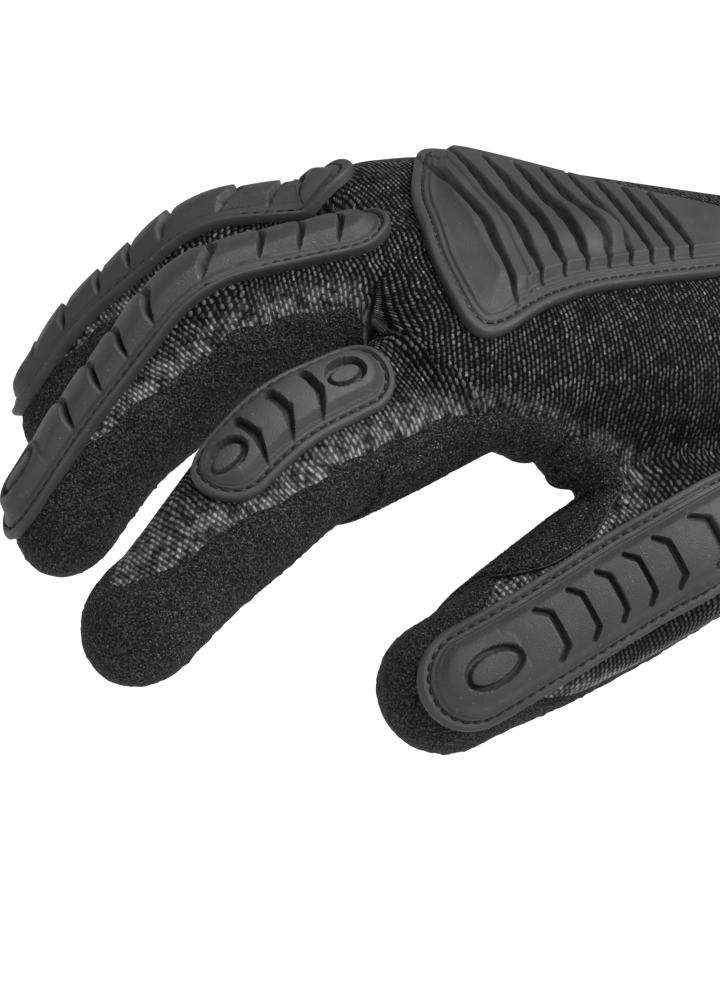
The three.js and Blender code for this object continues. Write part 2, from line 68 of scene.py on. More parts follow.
# Digit sections: share of the digit's length, of its width, and of its thickness above and below its middle.
FINGER_ROWS = (
    (-0.14, 0.8, 0.3, 0.3),
    (-0.02, 1.0, 0.74, 0.74),
    (0.1, 1.12, 1.14, 1.14),
    (0.34, 1.06, 1.14, 1.14),
    (0.47, 1.06, 1.12, 1.12),
    (0.6, 1.02, 1.06, 1.04),
    (0.75, 1.0, 1.0, 0.94),
    (0.9, 1.0, 1.0, 0.88),
)
INDEX_ROWS = (
    (-0.14, 0.8, 0.3, 0.3),
    (-0.02, 1.0, 0.74, 0.74),
    (0.1, 1.12, 1.16, 1.14),
    (0.25, 1.1, 1.36, 1.17),
    (0.45, 1.1, 1.44, 1.17),
    (0.6, 1.06, 1.3, 1.1),
    (0.75, 1.02, 1.02, 0.92),
    (0.9, 1.0, 0.98, 0.74),
)
MIDDLE_ROWS = (
    (-0.14, 0.8, 0.3, 0.3),
    (-0.02, 1.0, 0.74, 0.9),
    (0.1, 1.12, 1.14, 1.35),
    (0.34, 1.06, 1.14, 1.5),
    (0.47, 1.06, 1.12, 1.5),
    (0.6, 1.02, 1.06, 1.28),
    (0.75, 1.0, 1.0, 0.94),
    (0.9, 1.0, 1.0, 0.8),
)
THUMB_ROWS = (
    (-0.05, 0.6, 0.6, 0.6),
    (0.06, 1.05, 1.1, 1.1),
    (0.18, 1.26, 1.38, 1.38),
    (0.38, 1.27, 1.28, 1.28, -0.06),
    (0.55, 1.27, 1.1, 1.08, -0.06),
    (0.72, 1.13, 1.0, 1.0, -0.025),
    (0.85, 0.98, 1.0, 1.0, -0.015),
)
# Where the sandy coat ends on each side: share of the digit's length, and share of half its thickness.
FINGER_COAT = (
    (-0.1, -0.5), (0.1, 0.0), (0.2, 0.06), (0.5, 0.08), (0.6, 0.3),
    (0.7, 0.58), (0.8, 0.78), (0.9, 1.1), (1.1, 2.0),
)
THUMB_COAT = ((0.05, -0.2), (0.35, -0.12), (0.6, 0.02), (0.7, 0.3), (0.78, 0.8), (0.86, 1.6), (1.1, 2.0))
PALM_COAT = ((0.08, -0.9), (0.13, -0.3), (0.5, -0.25), (0.74, -0.2), (0.92, -0.3))

# The digits: the knuckle's place in the palm's shares, then the digit's turns, bones, bends and section.
DIGITS = {
    "index": dict(
        knuckle=(0.747, 0.305, 0.02), turns=(20, 19, 22), bones=(46, 27, 26),
        bends=(20.5, 6.5), size=(21.2, 21.2), facet=(42, 10.3, 0.16, 0.72),
    ),
    "middle": dict(
        knuckle=(0.748, 0.057, 0.26), turns=(2, 18.5, 22), bones=(50, 31, 26), bends=(40, 7.5), size=(20, 20),
    ),
    "ring": dict(
        knuckle=(0.69, -0.146, 0.137), turns=(-21, 21, 16), bones=(46, 28.5, 26),
        bends=(35.5, 18), size=(19.4, 19.4),
    ),
    "pinky": dict(
        knuckle=(0.6, -0.33, -0.03), turns=(-32, 26, 10), bones=(36, 22, 22), bends=(36, 18), size=(18, 18.4),
    ),
    "thumb": dict(
        knuckle=(0.082, 0.36, -0.32), turns=(27, 13.5, -37), bones=(45.5, 35.5, 29.5),
        bends=(19, 12), size=(24.8, 23.5),
    ),
}
# Folds across the web: place along its line, half width, and how far the edge draws in (or out, below 0).
WEB_FOLDS = ((20.0, 1.8, 1.6), (15.0, 2.6, -1.2), (9.6, 1.9, 5.2), (4.5, 2.2, -1.8))
WEB = dict(thumb=0.36, index=-0.04, half_depth=0.185, half_thickness=0.1, sag=0.098, skew=0.6)

# The web patch's outline: along the web's line and into the hand, shares of PALM_WIDTH.
PATCH_OUTLINE = (
    (0.36, -0.42), (0.335, -0.331), (0.323, -0.285), (0.29, -0.236), (0.241, -0.196), (0.176, -0.156),
    (0.094, -0.118), (0.044, -0.1), (0.0, -0.083), (-0.039, -0.078), (-0.061, -0.094), (-0.069, -0.13),
    (-0.072, -0.211), (-0.045, -0.285), (0.0, -0.315), (0.034, -0.3), (0.056, -0.345), (0.1, -0.37),
)
PATCH_REACH = (-0.3, 0.45)


# Small numeric helpers.
def ramp(value, low, high):
    """0 below low, 1 above high, smooth between."""
    t = np.clip((value - low) / (high - low), 0, 1)
    return t * t * (3 - 2 * t)


def mix(a, b, share):
    return a + (b - a) * share


def turned(vector, axis, degrees):
    return np.array(Matrix.Rotation(math.radians(degrees), 3, Vector(axis)) @ Vector(vector))


def soft_min(a, b, reach):
    """The smaller of two distances, rounded where they are within reach of each other."""
    share = np.clip(0.5 + 0.5 * (b - a) / reach, 0, 1)
    return mix(b, a, share) - reach * share * (1 - share)


def rounded(angle, half_width, half_height, power):
    """A point of a rounded section: angle 0 is its top and grows towards the thumb side."""
    bulge = lambda value: np.sign(value) * np.abs(value) ** (2 / power)
    return half_width * bulge(np.sin(angle)), half_height * bulge(np.cos(angle))


def rounded_angle(across, high, half_width, half_height, power):
    unbulge = lambda value: np.sign(value) * np.abs(value) ** (power / 2)
    return np.arctan2(unbulge(across / half_width), unbulge(high / half_height))


def section_share(across, high, half_width, half_height, power):
    """0 in the middle of a rounded section, 1 on its outline."""
    return (np.abs(across / half_width) ** power + np.abs(high / half_height) ** power) ** (1 / power)


def smoothed(values, reach):
    window = np.hanning(2 * reach + 3)[1:-1]
    padded = np.pad(values, reach, mode="edge")
    return np.convolve(padded, window / window.sum(), mode="valid")


def unit(vectors):
    return vectors / np.linalg.norm(vectors, axis=-1, keepdims=True)


def between(where, places, table):
    """Rows of a table of points, read at places between them."""
    return np.stack([np.interp(where, places, table[:, i]) for i in range(3)], -1)


def smooth_outline(corners, step):
    """A closed curve through flat corners, with points at even steps between them."""
    count = len(corners)
    outline = []
    for i in range(count):
        a, b, c, d = (corners[(i + k) % count] for k in (-1, 0, 1, 2))
        square, cube = 2 * a - 5 * b + 4 * c - d, 3 * b - a - 3 * c + d
        for t in np.arange(0, 1, step):
            outline.append(0.5 * (2 * b + (c - a) * t + square * t**2 + cube * t**3))
    return np.array(outline)


def ring_quads(rings, around, closed=False, first=0):
    """Quads between rings of points, where closed joins the last ring to the first one."""
    faces = []
    for i in range(rings if closed else rings - 1):
        low, high = first + i * around, first + (i + 1) % rings * around
        for j in range(around):
            k = (j + 1) % around
            faces.append((low + j, low + k, high + k, high + j))
    return faces


# Half the palm's width and thickness where the knit's stitches are counted round it.
KNIT_ROUND = (45.0, 19.5)
# How far the round ends of the palm's tube, of the digits' roots and of the web's bar reach.
PALM_CAP = 8
ROOT_CAP = 8
WEB_CAP = 6


# The palm and cuff as one tube along -X.
class Palm:
    def __init__(self):
        halfway_width = mix(MOUTH_WIDTH, WRIST_WIDTH, CUFF_CURVE)
        halfway_thickness = mix(MOUTH_THICKNESS, WRIST_THICKNESS, CUFF_CURVE)
        rows = [(0, MOUTH_WIDTH, MOUTH_THICKNESS, 0, 0)]
        rows.append((CUFF_LENGTH / 2, halfway_width, halfway_thickness, 0, 0))
        rows.append((CUFF_LENGTH, WRIST_WIDTH, WRIST_THICKNESS, 0, 0))
        for along, wide, high, aside, raised in PALM_ROWS:
            size = (wide * PALM_WIDTH, high * PALM_THICKNESS)
            middle = (-aside * PALM_WIDTH, raised * PALM_THICKNESS)
            rows.append((CUFF_LENGTH + along * HAND_LENGTH, *size, *middle))
        table = np.array(rows)
        self.end = table[-1, 0] - 6
        self.at = np.arange(-10, table[-1, 0] + 10)
        columns = [smoothed(np.interp(self.at, table[:, 0], table[:, i]), 7) for i in (1, 2, 3, 4)]
        self.columns = [columns[0] / 2, columns[1] / 2, columns[2], columns[3]]
        angles = np.linspace(0, math.pi, 200)
        across, high = rounded(angles, *KNIT_ROUND, PALM_POWER)
        steps = np.hypot(np.diff(across), np.diff(high))
        self.arc_table = (angles, np.concatenate([[0], np.cumsum(steps)]))
        self.round_length = 2 * steps.sum()

    def section(self, distance):
        return [np.interp(distance, self.at, column) for column in self.columns]

    def local(self, points):
        distance = -points[:, 0]
        w, h, y, z = self.section(distance)
        return distance, y - points[:, 1], points[:, 2] - z, w, h

    def distance(self, points):
        place, across, high, w, h = self.local(points)
        over = np.clip((place - self.end) / PALM_CAP, 0, None)
        share = np.hypot(section_share(across, high, w, h, PALM_POWER), over)
        radius = np.sqrt(across**2 + high**2 + np.clip(place - self.end, 0, None) ** 2)
        return radius * (1 - 1 / np.clip(share, 0.05, None))

    def arc(self, angle):
        return np.sign(angle) * np.interp(np.abs(angle), *self.arc_table)

    def knit(self, points):
        place, across, high, w, h = self.local(points)
        return place, self.arc(rounded_angle(across, high, w, h, PALM_POWER))

    def coat(self, points):
        place, _, high, _, h = self.local(points)
        rows = np.array(PALM_COAT)
        reach = np.interp((place - CUFF_LENGTH) / HAND_LENGTH, rows[:, 0], rows[:, 1])
        return reach * h - high


palm = Palm()


# A finger or the thumb: a bent centreline with a rounded section that closes over the fingertip.
class Digit:
    ROOT = 22

    def __init__(self, knuckle, turns, bones, bends, size, rows, coat, facet=None):
        self.facet = facet
        spread, droop, lean = turns
        forward = turned((-1, 0, 0), (0, 0, 1), spread)
        hinge = np.cross((0, 0, 1), forward)
        forward = turned(forward, hinge, droop)
        up = turned(np.cross(forward, hinge), forward, lean)
        self.side = np.cross(up, forward)
        self.length = float(sum(bones))
        along, aside, raised = knuckle
        place = -(CUFF_LENGTH + along * HAND_LENGTH)
        self.start = np.array((place, -aside * PALM_WIDTH, raised * PALM_THICKNESS))
        self.cap_start = round(self.length - FINGERTIP_LENGTH)
        self.cap_length = self.length - self.cap_start
        self.s = np.arange(-self.ROOT, self.cap_start + 1.0)
        joints = np.cumsum(bones)[:-1]

        def bent(s):
            made = (bend * ramp(s, at - JOINT_REACH, at + JOINT_REACH) for at, bend in zip(joints, bends))
            return np.radians(sum(made))

        def heading(s):
            angle = bent(s)[:, None]
            return np.cos(angle) * forward - np.sin(angle) * up

        steps = np.cumsum(heading(self.s[:-1] + 0.5), axis=0)
        centres = np.vstack([np.zeros(3), steps])
        self.centres = centres - centres[self.ROOT] + self.start
        self.headings = heading(self.s)
        angle = bent(self.s)[:, None]
        self.ups = np.cos(angle) * up + np.sin(angle) * forward
        table = np.array([(*row, 0.0)[:5] for row in rows])
        column = lambda i: smoothed(np.interp(self.s / self.length, table[:, 0], table[:, i]), 5)
        self.wide = column(1) * size[0] / 2
        self.above = column(2) * size[1] / 2
        self.below = column(3) * size[1] / 2
        self.aside = column(4) * size[0]
        self.size = size
        self.coat_rows = np.array(coat)
        self.knit_start = (-self.start[0], palm.knit(self.start[None])[1][0])
        self.knit_radius = 0.5 * (size[0] + size[1]) / 2 * 1.08
        self.round_length = 2 * math.pi * self.knit_radius

    def at(self, s):
        """The centre, heading and up direction at distances from the knuckle."""
        inside = np.clip(s, self.s[0], self.s[-1])
        heading = between(inside, self.s, self.headings)
        centre = between(inside, self.s, self.centres) + heading * (s - inside)[:, None]
        return centre, heading, between(inside, self.s, self.ups)

    def section(self, s):
        return [np.interp(s, self.s, table) for table in (self.wide, self.above, self.below)]

    def local(self, points):
        squared = (points**2).sum(1)[:, None] - 2 * points @ self.centres.T + (self.centres**2).sum(1)
        near = squared.argmin(1)
        away = points - self.centres[near]
        ahead = (away * self.headings[near]).sum(1)
        inner = (near > 0) & (near < len(self.s) - 1)
        ahead = np.where(inner, np.clip(ahead, -0.5, 0.5), ahead)
        s = self.s[near] + ahead
        across = away @ self.side - np.interp(s, self.s, self.aside)
        high = (away * self.ups[near]).sum(1)
        w, above, below = self.section(s)
        return s, across, high, w, np.where(high > 0, above, below)

    def distance(self, points):
        s, across, high, w, h = self.local(points)
        over = np.clip((s - self.cap_start) / self.cap_length, 0, None)
        under = np.clip((self.s[0] - s) / ROOT_CAP, 0, None)
        share = np.sqrt(section_share(across, high, w, h, SECTION_POWER) ** 2 + over**2 + under**2)
        beyond = np.clip(s - self.cap_start, 0, None) + np.clip(self.s[0] - s, 0, None)
        radius = np.sqrt(across**2 + high**2 + beyond**2)
        distance = radius * (1 - 1 / np.clip(share, 0.05, None))
        if self.facet:
            distance = -soft_min(-distance, self.above_facet(s, across, high), 3)
        return distance

    def above_facet(self, s, across, high):
        """How far points are below the flat under a guard, which fades out past its ends."""
        turn, level, start, end = self.facet
        angle = math.radians(turn)
        middle, reach = (start + end) / 2 * self.length, (end - start) / 2 * self.length
        fade = 14 * ramp(np.abs(s - middle), reach - 4, reach + 10)
        return level + fade - across * math.sin(angle) - high * math.cos(angle)

    def facet_point(self, s, across, rise):
        """Points on or above the flat, at arc lengths across it."""
        turn, level, _, _ = self.facet
        angle = math.radians(turn)
        centre, _, up = self.at(s)
        along_flat = self.side * math.cos(angle) - up * math.sin(angle)
        out = self.side * math.sin(angle) + up * math.cos(angle)
        return centre + along_flat * across[:, None] + out * (level + rise)

    def surface(self, s, angle):
        """Points of the digit's own outline at distances from the knuckle and angles round it."""
        centre, _, up = self.at(s)
        w, above, below = self.section(s)
        over = np.clip(s - self.cap_start, 0, None) / self.cap_length
        closing = np.sqrt(np.clip(1 - over**2, 0.002, 1))
        h = np.where(np.cos(angle) > 0, above, below)
        across, high = rounded(angle, w, h, SECTION_POWER)
        centre = centre + np.interp(s, self.s, self.aside)[:, None] * self.side
        return centre + (across * closing)[:, None] * self.side + (high * closing)[:, None] * up

    def knit(self, points):
        s, across, high, w, h = self.local(points)
        angle = rounded_angle(across, high, w, h, SECTION_POWER)
        return self.knit_start[0] + s, self.knit_start[1] + angle * self.knit_radius

    def coat(self, points):
        s, _, high, _, h = self.local(points)
        reach = np.interp(s / self.length, self.coat_rows[:, 0], self.coat_rows[:, 1])
        return reach * h - high


OWN_ROWS = {"index": INDEX_ROWS, "middle": MIDDLE_ROWS, "thumb": THUMB_ROWS}
digits = {}
for name, facts in DIGITS.items():
    coat_rows = THUMB_COAT if name == "thumb" else FINGER_COAT
    digits[name] = Digit(**facts, rows=OWN_ROWS.get(name, FINGER_ROWS), coat=coat_rows)


# The web between the thumb and the index finger: an oval bar that sags towards the palm.
class Web:
    def __init__(self):
        read = lambda digit, share: digit.at(np.array([share * digit.length]))[0][0]
        self.start = read(digits["thumb"], WEB["thumb"])
        self.end = read(digits["index"], WEB["index"])
        self.middle = (self.start + self.end) / 2
        self.span = np.linalg.norm(self.end - self.start)
        self.line = (self.end - self.start) / self.span
        place = CUFF_LENGTH + 0.45 * HAND_LENGTH
        _, _, y, z = palm.section(place)
        inward = np.array((-place, y, z)) - self.middle
        self.inward = unit(inward - (inward @ self.line) * self.line)
        self.normal = np.cross(self.line, self.inward)

    def distance(self, points):
        away = points - self.start
        along = away @ self.line / self.span
        inside = np.clip(along, 0, 1)
        sag = WEB["sag"] * PALM_WIDTH * np.sin(math.pi * inside**WEB["skew"])
        place = (points - self.middle) @ self.line
        sag += sum(deep * np.exp(-(((place - middle) / wide) ** 2)) for middle, wide, deep in WEB_FOLDS)
        deep = away @ self.inward - sag
        thick = away @ self.normal
        half_depth, half_thickness = WEB["half_depth"] * PALM_WIDTH, WEB["half_thickness"] * PALM_WIDTH
        beyond = (along - inside) * self.span
        share = np.hypot(np.hypot(deep / half_depth, thick / half_thickness), beyond / WEB_CAP)
        radius = np.sqrt(deep**2 + thick**2 + beyond**2)
        return radius * (1 - 1 / np.clip(share, 0.05, None))

    def flat(self, points):
        """Places along the web's line, into the hand and across it, from the middle of the line."""
        away = points - self.middle
        return away @ self.line, away @ self.inward, away @ self.normal


web = Web()
# The distance that stands for well away, and how far round a part its own distance is worked out.
FAR = 40.0
WEB_REACH = 34
DIGIT_REACH = 30
# How far the blends reach: between the fingers, palm and web, and between the hand's other parts.
FINGER_BLEND = 3
WEB_BLEND = 8
HAND_BLEND = 6


def near_only(part, centres, reach):
    """A part's distance function that skips points well away from its centreline's box."""
    low, high = centres.min(0) - reach, centres.max(0) + reach

    def distance(points):
        result = np.full(len(points), FAR)
        near = ((points > low) & (points < high)).all(1)
        if near.any():
            result[near] = part.distance(points[near])
        return result

    return distance


part_distances = {"palm": palm.distance, "web": near_only(web, np.array([web.start, web.end]), WEB_REACH)}
for name, digit in digits.items():
    part_distances[name] = near_only(digit, digit.centres, DIGIT_REACH)


def hand_distance(points):
    """Roughly how far points are outside the filled glove, with its parts blended into each other."""
    far = {name: measure(points) for name, measure in part_distances.items()}
    fingers = far["index"]
    for name in ("middle", "ring", "pinky"):
        fingers = soft_min(fingers, far[name], FINGER_BLEND)
    hand = soft_min(far["palm"], far["web"], WEB_BLEND)
    hand = soft_min(hand, far["thumb"], HAND_BLEND)
    return soft_min(fingers, hand, HAND_BLEND)


def in_blocks(function, points, block=60000):
    return np.concatenate([function(points[i : i + block]) for i in range(0, len(points), block)])


def gradient(field, points, step=0.3):
    here = field(points)
    slopes = [(field(points + step * axis) - here) / step for axis in np.eye(3)]
    return here, np.stack(slopes, -1)


def settled(points, level=0.0, rounds=2):
    """Moves points onto the hand's surface, or one at a level above it, with their outward directions."""
    value, slope = gradient(hand_distance, points)
    slope_squared = np.clip((slope**2).sum(1), 0.2, None)
    for step in range(rounds):
        move = np.clip((value - level) / slope_squared, -2, 2)
        points = points - move[:, None] * slope
        if step + 1 < rounds:
            value = hand_distance(points)
    return points, unit(slope)


# Meshing of the blended hand: one quad for each grid edge that crosses its surface.
def surface_net(values, low, cell):
    shape = np.array(values.shape) - 1
    inside = values < 0
    corners = list(itertools.product((0, 1), repeat=3))
    window = lambda a: tuple(slice(a[i], a[i] + shape[i]) for i in range(3))
    count = sum(inside[window(a)].astype(int) for a in corners)
    active = (count > 0) & (count < 8)
    cells = np.argwhere(active)
    ids = np.full(tuple(shape), -1)
    ids[active] = np.arange(len(cells))
    total, hits = np.zeros((len(cells), 3)), np.zeros(len(cells))
    for a in corners:
        for axis in range(3):
            if a[axis]:
                continue
            step = np.eye(3, dtype=int)[axis]
            start = cells + a
            va, vb = values[tuple(start.T)], values[tuple((start + step).T)]
            crossing = (va < 0) != (vb < 0)
            share = np.where(crossing, va / np.where(va == vb, 1, va - vb), 0)
            total[crossing] += (start + share[:, None] * step)[crossing]
            hits[crossing] += 1
    quads = []
    for axis in range(3):
        step = np.eye(3, dtype=int)[axis]
        u, v = np.eye(3, dtype=int)[(axis + 1) % 3], np.eye(3, dtype=int)[(axis + 2) % 3]
        size = np.array(values.shape) - step
        lower = inside[tuple(slice(0, n) for n in size)]
        upper = inside[tuple(slice(step[i], None) for i in range(3))]
        edges = np.argwhere(lower != upper)
        keep = ((edges @ u > 0) & (edges @ v > 0) & (edges @ u < shape @ u) & (edges @ v < shape @ v))
        edges = edges[keep]
        around = [ids[tuple((edges - a).T)] for a in (u + v, v, 0 * u, u)]
        quad = np.stack(around, 1)
        flip = ~lower[tuple(edges.T)]
        quad[flip] = quad[flip][:, ::-1]
        quads.append(quad)
    return low + cell * total / hits[:, None], np.vstack(quads)


def edges_of(quads):
    pairs = np.vstack([quads[:, [i, (i + 1) % 4]] for i in range(4)])
    return np.unique(np.sort(pairs, axis=1), axis=0)


def relaxed(points, quads, share=0.5):
    edges = edges_of(quads)
    total, count = np.zeros_like(points), np.zeros(len(points))
    for a, b in ((0, 1), (1, 0)):
        for axis in range(3):
            total[:, axis] += np.bincount(edges[:, a], points[edges[:, b], axis], len(points))
        count += np.bincount(edges[:, a], minlength=len(points))
    return mix(points, total / count[:, None], share)


def subdivided(points, quads):
    pairs = np.sort(np.stack([quads, np.roll(quads, -1, axis=1)], -1), axis=-1)
    edges, place = np.unique(pairs.reshape(-1, 2), axis=0, return_inverse=True)
    place = place.reshape(-1, 4) + len(points)
    middles = len(points) + len(edges) + np.arange(len(quads))
    new_points = np.vstack([points, points[edges].mean(1), points[quads].mean(1)])
    parts = [np.stack([quads[:, i], place[:, i], middles, place[:, i - 1]], 1) for i in range(4)]
    return new_points, np.vstack(parts)


def used_only(points, quads):
    used = np.unique(quads)
    place = np.full(len(points), -1)
    place[used] = np.arange(len(used))
    return points[used], place[quads]


# The box that the hand is looked for in: its low corner, and its size aside and up.
FIELD_LOW = (-244.0, -96.0, -70.0)
FIELD_SIZE = (166, 112)


def hand_shell(level, cell, finer):
    """The hand's surface at a level, open at the wrist: its points, outward directions and quads."""
    low = np.array(FIELD_LOW)
    low[0] = -cell * (math.ceil(-FIELD_LOW[0] / cell) + 0.5)
    counts = [math.ceil(abs(low[0]) / cell) + 1] + [math.ceil(size / cell) for size in FIELD_SIZE]
    axes = [low[i] + cell * np.arange(counts[i]) for i in range(3)]
    grid = np.stack(np.meshgrid(*axes, indexing="ij"), -1).reshape(-1, 3)
    values = in_blocks(hand_distance, grid).reshape([len(axis) for axis in axes]) - level
    points, quads = surface_net(values, low, cell)
    quads = quads[points[quads, 0].mean(1) < -0.1]
    points, quads = used_only(points, quads)
    for round_number in range(3 + finer):
        rim = points[:, 0] > -cell / 3 / (1 if round_number < 3 else 2)
        points = relaxed(points, quads)
        points[rim, 0] = 0
        points, _ = settled(points, level)
        points[rim, 0] = 0
        if finer and round_number == 2:
            points, quads = subdivided(points, quads)
    points, outward = settled(points, level)
    points[rim, 0] = 0
    return points, outward, quads


# What a point of the hand's surface belongs to: knit coordinates and how far inside the sandy coat it is.
def inside_polygon(points, polygon):
    """Distance of flat points to a closed outline, positive inside it."""
    starts, ends = polygon, np.roll(polygon, -1, axis=0)
    nearest = np.full(len(points), np.inf)
    crossings = np.zeros(len(points), int)
    for a, b in zip(starts, ends):
        edge = b - a
        t = np.clip(((points - a) @ edge) / (edge @ edge), 0, 1)
        nearest = np.minimum(nearest, np.linalg.norm(points - a - t[:, None] * edge, axis=1))
        level = (a[1] > points[:, 1]) != (b[1] > points[:, 1])
        reach = a[0] + (points[:, 1] - a[1]) * edge[0] / (edge[1] if edge[1] else 1)
        crossings += level & (points[:, 0] < reach)
    return np.where(crossings % 2 == 1, nearest, -nearest)


PATCH_POLYGON = smooth_outline(np.array(PATCH_OUTLINE) * PALM_WIDTH, 0.125)


def patch_depth(points):
    """How far inside the web patch's outline points are."""
    line, inward, across = web.flat(points)
    depth = np.full(len(points), -20.0)
    near = (np.abs(line) < 60) & (np.abs(inward) < 60)
    depth[near] = inside_polygon(np.stack([line[near], inward[near]], 1), PATCH_POLYGON)
    low, high = (reach * PALM_WIDTH for reach in PATCH_REACH)
    return np.minimum(depth, np.minimum(across - low, high - across))


def part_shares(points, reach):
    """How much of each point belongs to the palm and to each digit."""
    far = np.stack([part_distances[name](points) for name in ("palm", *digits)], 1)
    weight = np.exp(-np.clip(far - far.min(1, keepdims=True), 0, 60) / reach)
    return weight / weight.sum(1, keepdims=True)


def coat_depth(points):
    shares = part_shares(points, 2.5)
    parts = [palm, *digits.values()]
    depths = np.stack([part.coat(points) for part in parts], 1)
    own = (shares * np.clip(depths, -12, 12)).sum(1)
    return -soft_min(-own, -patch_depth(points) + 0.6, 1.5)


# Meshes, materials and how a piece joins the frame.
def add_piece(name, points, faces, material, replaces=(), smooth_below=40):
    mesh = bpy.data.meshes.new(name)
    mesh.from_pydata((np.asarray(points) * MM).tolist(), [], [list(map(int, face)) for face in faces])
    mesh.materials.append(material)
    mesh.shade_smooth()
    mesh.set_sharp_from_angle(angle=math.radians(smooth_below))
    piece = bpy.data.objects.new(name, mesh)
    bpy.context.scene.collection.objects.link(piece)
    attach(piece, "root")
    if replaces:
        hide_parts(*replaces)
    return piece


def set_attribute(piece, name, values):
    attribute = piece.data.attributes.new(name, "FLOAT", "POINT")
    attribute.data.foreach_set("value", np.asarray(values, np.float32))


def set_knit_map(piece, points, quads):
    """Writes knit coordinates to the corners: each face takes those of the part that it mostly belongs to."""
    owner = in_blocks(lambda some: part_shares(some, 1.0), points)[quads].sum(1).argmax(1)
    corners = np.zeros((len(quads), 4, 2))
    for i, part in enumerate((palm, *digits.values())):
        own = quads[owner == i]
        places = np.zeros((len(points), 2))
        used = np.unique(own)
        places[used] = np.stack(part.knit(points[used]), 1)
        own_corners = places[own]
        around = own_corners[:, :, 1]
        wide = np.ptp(around, axis=1, keepdims=True) > part.round_length / 2
        middle = around.mean(1, keepdims=True)
        around[...] = np.where(wide & (around < middle), around + part.round_length, around)
        corners[owner == i] = own_corners
    layer = piece.data.uv_layers.new(name="knit")
    layer.data.foreach_set("uv", corners.astype(np.float32).reshape(-1))


class Shader:
    """Short calls for building one material's nodes."""

    def __init__(self, name):
        self.material = bpy.data.materials.new(name)
        self.material.use_nodes = True
        self.tree = self.material.node_tree
        self.surface = next(n for n in self.tree.nodes if n.type == "BSDF_PRINCIPLED")

    def set(self, socket, value):
        if isinstance(value, bpy.types.NodeSocket):
            self.tree.links.new(value, socket)
        else:
            socket.default_value = value

    def node(self, kind, inputs=(), output=0, **settings):
        node = self.tree.nodes.new(kind)
        for key, value in settings.items():
            setattr(node, key, value)
        for key, value in dict(inputs).items():
            self.set(node.inputs[key], value)
        return node.outputs[output]

    def math(self, operation, a, b=0.0, clamp=False):
        return self.node("ShaderNodeMath", {0: a, 1: b}, operation=operation, use_clamp=clamp)

    def plus(self, a, b):
        return self.math("ADD", a, b)

    def times(self, a, b):
        return self.math("MULTIPLY", a, b)

    def ramp(self, value, low, high, to_low=0.0, to_high=1.0):
        inputs = {0: value, 1: low, 2: high, 3: to_low, 4: to_high}
        return self.node("ShaderNodeMapRange", inputs, interpolation_type="SMOOTHSTEP")

    def mix(self, share, a, b):
        inputs = {"Factor": share, "A": a, "B": b}
        node = self.tree.nodes.new("ShaderNodeMix")
        node.data_type = "RGBA"
        for key, value in inputs.items():
            socket = next(s for s in node.inputs if s.name == key and s.enabled)
            self.set(socket, value)
        return next(s for s in node.outputs if s.enabled)

    def grey(self, level):
        return self.node("ShaderNodeCombineColor", {0: level, 1: level, 2: level})

    def noise(self, scale, detail=2.0, vector=None):
        place = vector or self.node("ShaderNodeTexCoord", output=3)
        return self.node("ShaderNodeTexNoise", {"Vector": place, "Scale": scale, "Detail": detail})

    def bump(self, height, distance):
        return self.node("ShaderNodeBump", {"Height": height, "Distance": distance * MM, "Strength": 1.0})

    def finish(self, color, roughness, normal=None, specular=0.5):
        self.set(self.surface.inputs["Base Color"], color)
        self.set(self.surface.inputs["Roughness"], roughness)
        self.surface.inputs["Specular IOR Level"].default_value = specular
        if normal:
            self.set(self.surface.inputs["Normal"], normal)
        return self.material


# The knit: millimetres from row to row and from stitch to stitch, how much a stitch's crown narrows across
# its row and along it, the grey of the yarn, and the painted shade of the gaps between stitches.
STITCH_PITCH = 0.96
STITCH_LENGTH = 1.45
STITCH_SLIM = 2.9
STITCH_FULL = 2.0
YARN = 0.056
PAINTED_GAP_SHADE = 0.0004


